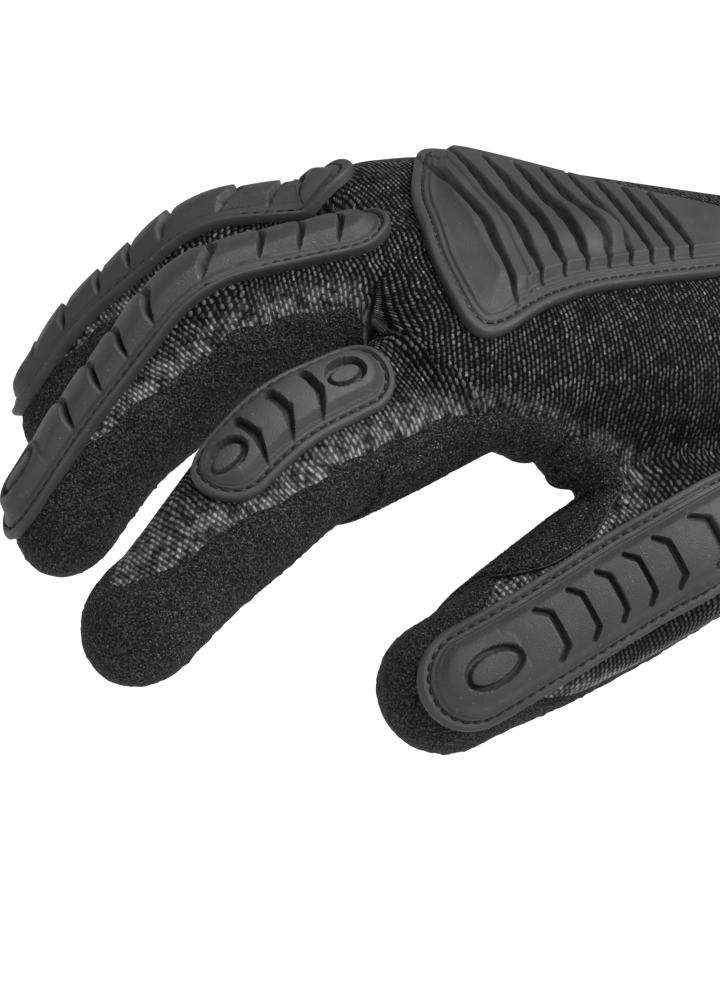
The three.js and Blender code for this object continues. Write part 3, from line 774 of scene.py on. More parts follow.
def knit_material():
    """Rows of slim staggered stitches across the hand's length, with painted shade in their gaps and painted
    glints on a few, glossier where the dip soaked and paler there by a painted sheen.
    """
    m = Shader("knit")
    uv = m.node("ShaderNodeUVMap", uv_map="knit")
    split = m.tree.nodes.new("ShaderNodeSeparateXYZ")
    m.set(split.inputs[0], uv)
    u, v = split.outputs[0], split.outputs[1]
    sway = m.noise(90.0, 2.0)
    u = m.plus(u, m.ramp(sway, 0.3, 0.7, -0.5, 0.5))
    row = m.math("DIVIDE", u, STITCH_PITCH)
    row_number = m.math("FLOOR", row)
    shifted = m.plus(m.math("DIVIDE", v, STITCH_LENGTH), m.times(row_number, 0.5))
    cell_number = m.math("FLOOR", shifted)
    across = m.math("SUBTRACT", m.math("FRACT", shifted), 0.5)
    slant = m.times(across, -0.1)
    along = m.plus(m.math("SUBTRACT", m.math("FRACT", row), 0.5), slant)
    slim = m.math("POWER", m.times(m.math("ABSOLUTE", along), STITCH_SLIM), 2.0)
    long = m.math("POWER", m.times(m.math("ABSOLUTE", across), STITCH_FULL), 2.6)
    crown = m.math("SQRT", m.math("SUBTRACT", 1.0, m.plus(slim, long), clamp=True))
    number = m.node("ShaderNodeCombineXYZ", {0: row_number, 1: cell_number})
    chance = m.node("ShaderNodeTexWhiteNoise", {"Vector": number}, noise_dimensions="2D")
    wet = m.node("ShaderNodeAttribute", output=2, attribute_name="wet")
    streak_place = m.node("ShaderNodeCombineXYZ", {0: m.times(m.plus(row, slant), 3.4), 1: v})
    streaks = m.noise(1.0, 2.0, vector=streak_place)
    height = m.plus(crown, m.times(streaks, 0.3))
    height = m.times(height, m.ramp(chance, 0.0, 1.0, 0.7, 1.1))
    # Painted shade: the colour falls from the yarn's grey on the crowns to near black in the gaps between
    # them.
    tone = m.ramp(crown, 0.1, 0.9, PAINTED_GAP_SHADE, YARN)
    tone = m.times(tone, m.ramp(chance, 0.0, 1.0, 0.25, 1.8))
    tone = m.times(tone, m.ramp(streaks, 0.3, 0.7, 0.55, 1.5))
    tone = m.times(tone, m.ramp(m.noise(240.0, 3.0), 0.35, 0.7, 0.65, 1.4))
    # Painted glints: bright specks added to the colour of a few stitch crowns.
    painted_glint = m.times(m.ramp(chance, 0.93, 0.96), m.ramp(m.noise(2600.0, 1.0), 0.56, 0.64))
    tone = m.plus(tone, m.times(painted_glint, m.times(crown, 0.3)))
    # The soaked band's tone: partly the band's own grey and partly a painted sheen that lifts it far above
    # the yarn's grey; it is darker in the gaps as painted shade.
    soaked_tone_and_painted_sheen = m.ramp(m.noise(500.0, 4.0), 0.36, 0.68, 0.008, 0.26)
    soaked_tone_and_painted_sheen = m.times(soaked_tone_and_painted_sheen, m.ramp(crown, 0.0, 0.9, 0.3, 1.2))
    # Painted shade: the knit is darkened by up to 45% where the liner's shade attribute is set, on the thumb
    # side near the wrist.
    shade = m.node("ShaderNodeAttribute", output=2, attribute_name="shade")
    tone = m.times(tone, m.math("SUBTRACT", 1.0, m.times(shade, 0.45)))
    dry = m.times(tone, m.math("SUBTRACT", 1.0, m.times(wet, 0.6)))
    tone = m.plus(dry, m.times(soaked_tone_and_painted_sheen, wet))
    roughness = m.ramp(crown, 0.1, 0.7, 0.95, 0.5)
    roughness = m.times(roughness, m.ramp(wet, 0.0, 1.0, 1.0, 0.55))
    normal = m.bump(height, 0.5)
    return m.finish(m.grey(tone), roughness, normal, specular=0.15)


def sand_material(name, low, high, painted_glints):
    """Matt foam with a sandy grain and painted glints."""
    m = Shader(name)
    grain = m.noise(2100.0, 3.0)
    place = m.node("ShaderNodeTexCoord", output=3)
    crumbs = m.node("ShaderNodeTexVoronoi", {"Vector": place, "Scale": 1500.0})
    height = m.plus(m.ramp(grain, 0.36, 0.64), m.times(crumbs, -0.9))
    tone = m.ramp(grain, 0.38, 0.66, low, high)
    tone = m.times(tone, m.ramp(m.noise(170.0, 3.0), 0.3, 0.7, 0.8, 1.2))
    # Painted glints: scattered bright specks added to the foam's colour.
    painted_glint_specks = m.ramp(m.noise(3300.0, 0.0), 0.70, 0.76)
    tone = m.plus(tone, m.times(painted_glint_specks, painted_glints))
    normal = m.bump(height, 0.45)
    return m.finish(m.grey(tone), 0.85, normal, specular=0.25)


def rubber_material():
    """Moulded rubber: even, slightly grained, paler along worn edges, with a little dust."""
    m = Shader("guard_rubber")
    tone = m.ramp(m.noise(120.0, 4.0), 0.3, 0.7, 0.034, 0.042)
    edge = m.node("ShaderNodeNewGeometry", output=7)
    tone = m.plus(tone, m.ramp(edge, 0.53, 0.62, 0.0, 0.02))
    dust = m.ramp(m.noise(1900.0, 0.0), 0.8, 0.84, 0.0, 0.07)
    tone = m.plus(tone, dust)
    grain = m.noise(3600.0, 2.0)
    normal = m.bump(grain, 0.12)
    roughness = m.ramp(m.noise(300.0, 3.0), 0.3, 0.7, 0.55, 0.65)
    return m.finish(m.grey(tone), roughness, normal, specular=0.5)


def thread_material(name, tone):
    """Twisted sewing thread."""
    m = Shader(name)
    twist = m.noise(2400.0, 1.0)
    level = m.ramp(twist, 0.3, 0.7, tone * 0.5, tone * 1.6)
    return m.finish(m.grey(level), 0.75, m.bump(twist, 0.12), specular=0.4)


def piping_material():
    """The cut edge of the patch's cloth, light brown."""
    m = Shader("patch_edge")
    share = m.ramp(m.noise(900.0, 2.0), 0.3, 0.7)
    color = m.mix(share, (0.014, 0.012, 0.01, 1), (0.06, 0.052, 0.042, 1))
    return m.finish(color, 0.8, m.bump(m.noise(3000.0, 1.0), 0.08))


# The liner and what is laid on it: how far from the dip's edge the knit is soaked, and the grid cells.
WET_FROM = -7.0
WET_TO = -1.0
INNER_CELL = 3.0
SHELL_CELL = 2.2
LAYER_FOOT = -0.5

shell_points, shell_outward, shell_quads = hand_shell(0.0, SHELL_CELL, 2)
shell_coat = in_blocks(coat_depth, shell_points)


def add_liner():
    inner_points, _, inner_quads = hand_shell(-LINER_WALL, INNER_CELL, 0)
    points = np.vstack([shell_points, inner_points])
    quads = np.vstack([shell_quads, inner_quads[:, ::-1] + len(shell_points)])
    piece = add_piece("glove_liner", points, quads, knit_material(), ["knit_liner"], 180)
    set_knit_map(piece, points, quads)
    # Painted shade: the knit on the thumb side of the hand, nearer the wrist, is darkened in its colour.
    painted_shade_beside_thumb = ramp(points[:, 1], -30, -48) * ramp(-points[:, 0], CUFF_LENGTH + 95, CUFF_LENGTH + 60)
    set_attribute(piece, "shade", painted_shade_beside_thumb)
    palm_share = in_blocks(lambda some: part_shares(some, 2.5), shell_points)[:, 0]
    wet = ramp(shell_coat, WET_FROM + 4.0 * palm_share, WET_TO) * (1 - 0.5 * palm_share)
    set_attribute(piece, "wet", np.concatenate([wet, np.zeros(len(inner_points))]))


def layer_on_shell(depth_of, height_of, finer):
    """A closed layer on the shell where depth_of is positive, as thick as height_of says at each depth."""
    depth = in_blocks(depth_of, shell_points)
    quads = shell_quads[(depth[shell_quads] > 0).any(1)]
    points, quads = used_only(shell_points, quads)
    for _ in range(finer):
        points, quads = subdivided(points, quads)
        depth = in_blocks(depth_of, points)
        points, quads = used_only(points, quads[(depth[quads] > 0).any(1)])
    for _ in range(3):
        depth, slope = gradient(lambda p: in_blocks(depth_of, p), points)
        slope_squared = np.clip((slope**2).sum(1), 0.15, None)
        outside = np.where(depth < 0, depth, 0) / slope_squared
        points = points - np.clip(outside, -1.5, 0)[:, None] * slope
        points, outward = settled(points)
    depth = np.clip(in_blocks(depth_of, points), 0, None)
    top = points + outward * height_of(depth, points)[:, None]
    bottom = points + outward * LAYER_FOOT
    pairs = np.vstack([quads[:, [i, (i + 1) % 4]] for i in range(4)])
    keys = {(a, b) for a, b in pairs.tolist()}
    border = [(a, b) for a, b in pairs.tolist() if (b, a) not in keys]
    count = len(points)
    sides = [(b, a, a + count, b + count) for a, b in border]
    faces = quads.tolist() + (quads[:, ::-1] + count).tolist() + sides
    return np.vstack([top, bottom]), faces, border


def coat_height(depth, points):
    """The dip's thickness: lumpy and sandy, and thin at its edge."""
    lumps = 0.08 * np.sin(points @ np.array((1.9, 1.3, 2.3))) * np.sin(points @ np.array((-1.1, 2.2, 1.4)))
    grain = np.random.default_rng(3).normal(0, 0.07, len(points))
    full = ramp(depth, 0, 1.6)
    return 0.05 + (COAT_WALL - 0.05 + lumps) * full + grain * full


def ragged_coat(points):
    """The coat's depth with the slightly wavy edge that dipping leaves."""
    long_wave = 0.35 * np.sin(points @ np.array((0.5, 0.33, 0.21)))
    short_wave = 0.2 * np.sin(points @ np.array((-0.9, 0.7, 1.2)))
    return coat_depth(points) + (long_wave + short_wave)


def add_coat(material):
    points, faces, _ = layer_on_shell(ragged_coat, coat_height, 0)
    add_piece("palm_coat", points, faces, material, ["palm_dip"], 180)


# The patch's rise, how far its seam lies from its edge, and the radius of the cord along its cut edge, in
# millimetres.
PATCH_TOP = 1.9
PATCH_SEAM = 2.2
CORD_RADIUS = 0.18


def patch_height(depth, points):
    """The patch's rise: a rounded edge, a sewn line beside it and a sandy grain."""
    rise = 0.9 + (PATCH_TOP - 0.9) * np.sqrt(np.clip(1 - (1 - np.clip(depth / 0.9, 0, 1)) ** 2, 0, 1))
    seam = 0.5 * np.exp(-(((depth - PATCH_SEAM) / 0.35) ** 2))
    grain = np.random.default_rng(5).normal(0, 0.07, len(points))
    return rise - seam + grain * ramp(depth, 0.5, 3)


def chained(border):
    """The longest loop of a list of directed edges."""
    following = dict(border)
    loops, left = [], set(following)
    while left:
        start = next(iter(sorted(left)))
        loop, here = [], start
        while here in left:
            left.discard(here)
            loop.append(here)
            here = following[here]
        loops.append(loop)
    return max(loops, key=len)


def tube(path, radius, sides=6):
    """A closed ring tube through points."""
    ahead = unit(np.roll(path, -1, axis=0) - np.roll(path, 1, axis=0))
    side = unit(np.cross(ahead, np.roll(ahead, -3, axis=0) + np.array((0.01, 0.02, 0.9))))
    up = np.cross(side, ahead)
    angles = np.arange(sides) * 2 * math.pi / sides
    cosine, sine = np.cos(angles)[None, :, None], np.sin(angles)[None, :, None]
    rings = path[:, None] + radius * (cosine * side[:, None] + sine * up[:, None])
    return rings.reshape(-1, 3), ring_quads(len(path), sides, closed=True)


def add_patch(material):
    points, faces, border = layer_on_shell(patch_depth, patch_height, 2)
    piece = add_piece("web_patch", points, faces, material, ["crotch_patch"], 60)
    loop = chained(border)
    line, tube_faces = tube(points[loop], CORD_RADIUS)
    add_piece("patch_edge", line, tube_faces, piping_material(), (), 180)


# Guards: a fine grid on the digit's back whose height above the hand is worked out from the moulded features.
GUARD_CELL = 0.23
GUARD_FOOT = -0.7
FOOT_COLUMNS = 7
# How far a thread's middle lies above the channel that it is sewn in.
THREAD_LIFT = 0.05


def oval_distance(a, b, half_long, half_wide):
    """Roughly how far flat points are outside an oval."""
    k0 = np.hypot(a / half_long, b / half_wide)
    k1 = np.hypot(a / half_long**2, b / half_wide**2)
    return k0 * (k0 - 1) / np.clip(k1, 1e-6, None)


def segment_distance(a, b, start, end):
    """Distance of flat points to a segment, and the share along it."""
    (a0, b0), (a1, b1) = start, end
    da, db = a1 - a0, b1 - b0
    share = np.clip(((a - a0) * da + (b - b0) * db) / (da * da + db * db), 0, 1)
    return np.hypot(a - a0 - share * da, b - b0 - share * db), share


def rim_height(inset, spec):
    """The moulded edge: a rolled rim, the stitch channel, a flat flange and a low step."""
    rim = spec["rim"]
    roll = spec["thick"] + 0.6 + 0.9 * np.sqrt(np.clip(1 - (1 - np.clip(inset / 0.7, 0, 1)) ** 2, 0, 1))
    flange = mix(roll, spec["thick"] + 1.25, ramp(inset, rim, rim + 0.35))
    channel = 0.4 * np.exp(-(((inset - spec["stitch"]) / 0.32) ** 4))
    step = 0.45 * ramp(inset, spec["step"], spec["step"] + 0.35)
    return flange - channel + step


def slot_distance(ds, v, slot):
    """Distance outside a slot: a chain of (along, across, half width) points, mirrored unless one-sided."""
    v = v if slot["one_sided"] else np.abs(v)
    nearest = np.full_like(ds, FAR)
    for (a0, b0, half0), (a1, b1, half1) in zip(slot["line"], slot["line"][1:]):
        apart, share = segment_distance(ds, v, (a0, b0), (a1, b1))
        nearest = np.minimum(nearest, apart - mix(half0, half1, share))
    return nearest


def guard_height(s, v, inset, spec, length):
    """A digit guard's height: its rim, then plates on a crowned body, with slots and oval rings."""
    height = rim_height(inset, spec)
    low, high = spec["slope"]
    body = np.clip((inset - low) / (high - low), 0, 1)
    crown = spec["ridge"] + spec["crown"] * (1 - np.exp(-np.clip(inset - high, 0, None) / 2.0))
    slot = spec["slot"]
    centres = [slot["first"] * length + i * slot["pitch"] * length for i in range(slot["count"])]
    plates = np.zeros_like(s)
    first, pitch = centres[0], slot["pitch"] * length
    turns = [point[:2] for point in slot["line"]]
    lead = np.interp(v if slot["one_sided"] else np.abs(v), [b for _, b in turns], [a for a, _ in turns])
    turn = (s - lead - first) / pitch
    inside = (turn > -1) & (turn < slot["count"])
    phase = turn - np.floor(turn)
    plates[inside] = (spec["plate"] * (np.sin(math.pi * phase) - 0.5) + spec["tilt"] * (0.5 - phase))[inside]
    height = mix(height, crown + plates, body)
    for centre in centres:
        apart = slot_distance(s - centre, v, slot)
        cut = 1 - ramp(apart, -0.1, 0.16)
        height = mix(height, np.minimum(height, slot["floor"]), cut)
    for share in spec["ovals"]:
        half_long, half_wide, groove, drop = spec["oval"]
        outer = oval_distance(s - share * length, v, half_long, half_wide)
        inner = oval_distance(s - share * length, v, half_long - groove, half_wide - groove)
        island = crown - drop
        height = np.where(outer < 0.3, mix(height, island, 1 - ramp(outer, -0.1, 0.2)), height)
        ring = (1 - ramp(outer, -0.12, 0.2)) * ramp(inner, -0.2, 0.12)
        height = mix(height, slot["floor"] + 0.3, ring)
    return height


def guard_ends(spec, digit):
    """A guard's ends along its digit, and the radii that round them."""
    start, end = spec["from"] * digit.length, spec["to"] * digit.length
    return start, end, spec["root"] * digit.size[0], spec["tip"] * digit.size[0]


def guard_rows(spec, digit):
    """Distances along a digit for the rows, each with its half width, closing round at both ends."""
    start, end, root, tip = guard_ends(spec, digit)
    turns = lambda radius: np.arange(0.06, math.pi / 2, GUARD_CELL * 1.2 / radius)
    near = [(start + root * (1 - math.cos(a)), root * math.sin(a)) for a in turns(root)]
    straight = np.arange(start + root, end - tip, GUARD_CELL)
    middle = [(s, float(np.interp(s, (start + root, end - tip), (root, tip)))) for s in straight]
    far = [(end - tip * (1 - math.cos(a)), tip * math.sin(a)) for a in reversed(turns(tip))]
    return np.array(near + middle + far)


def guard_inset(s, v, spec, digit):
    """How far inside a guard's outline places on its digit are."""
    start, end, root, tip = guard_ends(spec, digit)
    middle = np.clip(s, start + root, end - tip)
    half = np.interp(middle, (start + root, end - tip), (root, tip))
    return half - np.hypot(s - middle, v)


def blurred(grid, reach=6):
    """A grid of vectors averaged over neighbours along both of its sides."""
    for axis in (0, 1):
        margins = [(reach, reach) if i == axis else (0, 0) for i in range(3)]
        padded = np.pad(grid, margins, mode="edge")
        count, shifts = grid.shape[axis], 2 * reach + 1
        grid = sum(np.take(padded, range(k, k + count), axis) for k in range(shifts)) / shifts
    return grid


def guard_base(digit, spec, s, v, shape=None):
    """Points of the hand under places on a digit's guard, blurred where they form a grid of a given shape."""
    if digit.facet:
        start = digit.facet_point(s, spec["aside"] + v, 0.5)
    else:
        w = digit.section(np.minimum(s, 0.85 * digit.length))[0]
        start = digit.surface(s, math.radians(spec["turned"]) + v / (w + 1.5))
    points, outward = settled(start, rounds=3)
    lift = COAT_WALL * ramp(coat_depth(points), -9, 9)
    points = points + outward * lift[:, None]
    if shape:
        points = start + blurred((points - start).reshape(*shape, 3)).reshape(-1, 3)
        outward = unit(blurred(outward.reshape(*shape, 3)).reshape(-1, 3))
    return points, outward


def closed_grid(top, foot):
    """A closed body from a top grid and a coarser grid of its foot with the same number of rows."""
    rows, columns = top.shape[:2]
    foot_columns = foot.shape[1]
    base = rows * columns
    at = lambda i, j: i * columns + j
    low = lambda i, j: base + i * foot_columns + j
    faces = []
    for i in range(rows - 1):
        faces += [(at(i, j), at(i, j + 1), at(i + 1, j + 1), at(i + 1, j)) for j in range(columns - 1)]
        below = range(foot_columns - 1)
        faces += [(low(i, j), low(i + 1, j), low(i + 1, j + 1), low(i, j + 1)) for j in below]
        faces.append((at(i, 0), at(i + 1, 0), low(i + 1, 0), low(i, 0)))
        last, foot_last = columns - 1, foot_columns - 1
        faces.append((at(i, last), low(i, foot_last), low(i + 1, foot_last), at(i + 1, last)))
    faces.append([at(0, j) for j in reversed(range(columns))] + [low(0, j) for j in range(foot_columns)])
    end = rows - 1
    faces.append([at(end, j) for j in range(columns)] + [low(end, j) for j in reversed(range(foot_columns))])
    return np.vstack([top.reshape(-1, 3), foot.reshape(-1, 3)]), faces


def outward_faces(points, faces):
    """Turns all faces round if the body is inside out."""
    a, b, c, d = np.moveaxis(points[np.array([face for face in faces if len(face) == 4])], 1, 0)
    volume = (a * (np.cross(b, c) + np.cross(c, d))).sum()
    return faces if volume > 0 else [tuple(reversed(face)) for face in faces]


# The sewn stitches: spacing, half length, radius, and shares of both along one stitch.
THREAD_SPACING = 2.3
THREAD_HALF = 0.78
THREAD_RADIUS = 0.26
THREAD_PROFILE = ((-1.0, 0.35), (-0.72, 0.85), (0.0, 1.0), (0.72, 0.85), (1.0, 0.35))
THREAD_SIDES = 6


def stitch_bodies(path, outward):
    """Short thread bodies at even steps on a closed path."""
    steps = np.linalg.norm(np.roll(path, -1, axis=0) - path, axis=1)
    reach = np.concatenate([[0], np.cumsum(steps)])
    count = int(reach[-1] / THREAD_SPACING)
    places = (np.arange(count) + 0.5) * reach[-1] / count
    closed = np.vstack([path, path[:1]])
    normals = np.vstack([outward, outward[:1]])
    centre, up = between(places, reach, closed), unit(between(places, reach, normals))
    after, before = (between((places + away) % reach[-1], reach, closed) for away in (0.4, -0.4))
    ahead = unit(after - before)
    side = unit(np.cross(up, ahead))
    angles = np.arange(THREAD_SIDES) * math.pi / 3
    rings = []
    for along, wide in THREAD_PROFILE:
        lift = 0.16 * (1 - along**2)
        middle = centre + ahead * along * THREAD_HALF + up * lift
        for angle in angles:
            rings.append(middle + THREAD_RADIUS * wide * (math.cos(angle) * side + math.sin(angle) * up))
    points = np.stack(rings, 1).reshape(-1, 3)
    size = len(THREAD_PROFILE) * THREAD_SIDES
    faces = []
    for base in range(0, count * size, size):
        faces += ring_quads(len(THREAD_PROFILE), THREAD_SIDES, first=base)
        faces.append([base + j for j in reversed(range(THREAD_SIDES))])
        faces.append([base + size - THREAD_SIDES + j for j in range(THREAD_SIDES)])
    return points, faces


def digit_guard(name, spec, material, thread):
    """A moulded guard on a digit, and the stitches in its channel."""
    digit = digits[name]
    rows = guard_rows(spec, digit)

    def places(columns):
        return np.repeat(rows[:, 0], columns), (rows[:, 1][:, None] * np.linspace(-1, 1, columns)).reshape(-1)

    columns = int(2 * rows[:, 1].max() / GUARD_CELL)
    s, v = places(columns)
    base, outward = guard_base(digit, spec, s, v, (len(rows), columns))
    height = guard_height(s, v, np.clip(guard_inset(s, v, spec, digit), 0, None), spec, digit.length)
    top = (base + outward * height[:, None]).reshape(len(rows), columns, 3)
    base, outward = guard_base(digit, spec, *places(FOOT_COLUMNS))
    foot = (base + outward * GUARD_FOOT).reshape(len(rows), FOOT_COLUMNS, 3)
    points, faces = closed_grid(top, foot)
    faces = outward_faces(points, faces)
    add_piece(f"{name}_pad", points, faces, material, [f"{name}_guard"], 50)
    inset = spec["stitch"]
    start, end, root, tip = guard_ends(spec, digit)
    near, far = root - inset, tip - inset
    quarter = np.linspace(0, math.pi / 2, 14)
    cosine, sine = np.cos(quarter), np.sin(quarter)
    side_s = np.concatenate([start + root - near * cosine, end - tip + far * sine])
    side_v = np.concatenate([near * sine, far * cosine])
    path_s = np.concatenate([side_s, side_s[::-1]])
    path_v = np.concatenate([side_v, -side_v[::-1]])
    dense = np.linspace(0, len(path_s) - 1, 400)
    path_s = np.interp(dense, np.arange(len(path_s)), path_s)
    path_v = np.interp(dense, np.arange(len(path_v)), path_v)
    base, outward = guard_base(digit, spec, path_s, path_v)
    level = rim_height(np.full(1, inset), spec)[0]
    points, faces = stitch_bodies(base + outward * (level + THREAD_LIFT), outward)
    add_piece(f"{name}_stitches", points, faces, thread, (), 180)


LENS_SLOT = ((-0.3, 0.0, 0.5), (0.0, 1.0, 0.58), (1.7, 3.8, 0.5), (3.3, 6.6, 0.1))
INDEX_SLOT = ((0.3, -2.9, 0.72), (0.0, 0.6, 0.72), (1.4, 4.4, 0.34), (2.2, 6.2, 0.12))
THUMB_SLOT = ((0.0, 0.0, 0.5), (0.0, 2.7, 0.5), (1.8, 4.4, 0.45))


def long_guard(start, end, first, pitch, count, oval):
    """The overlapping plates that the middle, ring and little fingers share."""
    slot = dict(first=first, pitch=pitch, count=count, line=LENS_SLOT, one_sided=False, floor=2.0)
    shape = dict(root=0.47, tip=0.4, turned=0, thick=0.8, rim=0.9, stitch=1.5, step=2.9, slope=(3.3, 4.7))
    body = dict(ridge=3.9, crown=0.7, plate=0.12, tilt=0.6, ovals=(oval,), oval=(5.0, 2.3, 0.9, 0.3))
    return {"from": start, "to": end, "slot": slot, **shape, **body}


RUBBER_FACTS = {
    "index": dict(
        {"from": 0.235, "to": 0.655}, root=0.4, tip=0.4, aside=-6.3,
        thick=0.3, rim=1.25, stitch=1.75, step=2.5, slope=(3.0, 4.6),
        ridge=3.5, crown=0.4, plate=0.1, tilt=0.3, ovals=(0.34, 0.58), oval=(4.3, 2.6, 1.0, 0.6),
        slot=dict(first=0.405, pitch=0.056, count=3, line=INDEX_SLOT, one_sided=True, floor=1.35),
    ),
    "middle": long_guard(0.12, 0.97, 0.209, 0.0757, 8, 0.868),
    "ring": long_guard(0.17, 0.95, 0.24, 0.082, 7, 0.865),
    "pinky": long_guard(0.2, 0.94, 0.28, 0.092, 6, 0.865),
    "thumb": dict(
        {"from": 0.12, "to": 0.94}, root=0.42, tip=0.42, turned=3,
        thick=0.2, rim=1.3, stitch=2.1, step=3.3, slope=(4.0, 5.4),
        ridge=2.9, crown=0.6, plate=0.1, tilt=0.35, ovals=(0.815,), oval=(5.7, 2.8, 0.85, 0.05),
        slot=dict(first=0.232, pitch=0.059, count=9, line=THUMB_SLOT, one_sided=False, floor=1.5),
    ),
}


# The back panel: a polar grid between its middle and its outline.
BACK_OUTLINE = (
    (0.16, 0.0), (0.185, 0.2), (0.26, 0.3), (0.34, 0.365), (0.42, 0.42), (0.5, 0.48), (0.587, 0.55),
    (0.67, 0.645), (0.735, 0.73), (0.775, 0.775), (0.808, 0.785), (0.835, 0.745), (0.852, 0.64), (0.86, 0.4),
    (0.85, 0.1), (0.82, -0.2), (0.77, -0.48), (0.73, -0.66), (0.69, -0.74), (0.64, -0.73), (0.6, -0.68),
    (0.5, -0.54), (0.4, -0.43), (0.3, -0.34), (0.2, -0.23),
)
BACK_SPINE = (0.27, 0.78)
# How far the innermost ring of the panel's grid lies on the way to the spine, and which rings its foot has.
INNERMOST = 0.96
FOOT_RINGS = (0, 10, 40)
BACK_SPEC = dict(thick=0.6, rim=1.3, stitch=2.2, step=3.4)


def back_base(flat):
    """Points of the hand's back at flat places: millimetres from the wrist and towards the thumb."""
    place = CUFF_LENGTH + flat[:, 0]
    w, h, y, z = palm.section(place)
    drop = (1 - np.clip(np.abs(flat[:, 1]) / w, 0, 0.999) ** PALM_POWER) ** (1 / PALM_POWER)
    points = np.stack([-place, y - flat[:, 1], z + h * drop + 2.0], 1)
    return settled(points, rounds=4)


# Slots across the panel: place along the hand, reach of half its width, and half their width in the middle.
BACK_SLOTS = (
    (0.75, 0.69, 1.2), (0.692, 0.58, 1.5), (0.641, 0.505, 1.6), (0.591, 0.45, 1.6), (0.545, 0.42, 1.5),
    (0.498, 0.39, 1.4), (0.453, 0.36, 1.3), (0.409, 0.325, 1.2), (0.366, 0.285, 1.1),
)
BACK_CREASE = (0.72, 0.62)


def back_height(flat, inset):
    """The back panel: a border with a low step and a body cut by wedge-shaped slots."""
    along, away = flat[:, 0] / HAND_LENGTH, np.abs(flat[:, 1])
    height = rim_height(inset, BACK_SPEC)
    rise = mix(1.6, 7.0, ramp(along + 0.1 * away / PALM_WIDTH, 0.75, 0.81))
    body = np.clip((inset - 4.8) / rise, 0, 1)
    height = mix(height, 4.0, body)
    for place, reach, half in BACK_SLOTS:
        end = reach * PALM_WIDTH / 2
        width = half * np.clip(1 - away / end, 0, 1) ** 0.6
        apart = np.abs(flat[:, 0] - place * HAND_LENGTH) - width
        cut = (1 - ramp(apart, -0.25, 0.3)) * (away < end)
        height = mix(height, np.minimum(height, 1.2), cut)
    place, reach = BACK_CREASE
    crease = np.exp(-(((flat[:, 0] - place * HAND_LENGTH) / 0.4) ** 2)) * (away < reach * PALM_WIDTH / 2)
    return height - 0.5 * crease


def back_spokes(outline):
    """Lines from the panel's outline to its spine, square to the spine and fanned round its ends."""
    start, end = (np.array((share * HAND_LENGTH, 0.0)) for share in BACK_SPINE)
    rows = np.arange(start[0], end[0], 0.3)

    def edge(side):
        places = side[np.argsort(side[:, 0])]
        return np.stack([rows, np.interp(rows, places[:, 0], places[:, 1])], 1)

    top = outline[:, 1] > 0

    def fan(centre, angles):
        away = outline - centre
        turn = np.arctan2(away[:, 1], away[:, 0])
        reach = np.interp(angles, turn, np.hypot(*away.T), period=2 * math.pi)
        return centre + reach[:, None] * np.stack([np.cos(angles), np.sin(angles)], 1)

    near = fan(start, np.linspace(-math.pi / 2, -3 * math.pi / 2, 71)[1:-1])
    far = fan(end, np.linspace(math.pi / 2, -math.pi / 2, 201)[1:-1])
    borders = [near, edge(outline[top]), far, edge(outline[~top])[::-1]]
    on_spine = np.stack([rows, 0 * rows], 1)
    inner = [0 * near + start, on_spine, 0 * far + end, on_spine[::-1]]
    return np.vstack(borders), np.vstack(inner), [len(part) for part in borders]


def back_rings(outline, border, inner):
    """Flat places ring by ring: the outer rings follow the outline, the others close in on the spine."""
    shares = np.linspace(0, INNERMOST, 60)
    along = border[:, None] + (inner - border)[:, None] * shares[None, :, None]
    inset = np.clip(inside_polygon(along.reshape(-1, 2), outline), 0, None).reshape(len(border), -1)
    inset = np.maximum.accumulate(inset, 1) + 1e-6 * np.arange(len(shares))
    levels = np.arange(0, 8.2, 0.2)
    squeeze = np.minimum(1, 0.9 * inset[:, -1] / levels[-1])
    outer = np.stack([np.interp(levels * squeeze[i], inset[i], shares) for i in range(len(border))])
    rest = np.linspace(0, 1, 61)[1:]
    closing = outer[:, -1:] + (INNERMOST - outer[:, -1:]) * rest
    share = np.hstack([outer, closing])
    return (border[:, None] + (inner - border)[:, None] * share[:, :, None]).transpose(1, 0, 2)


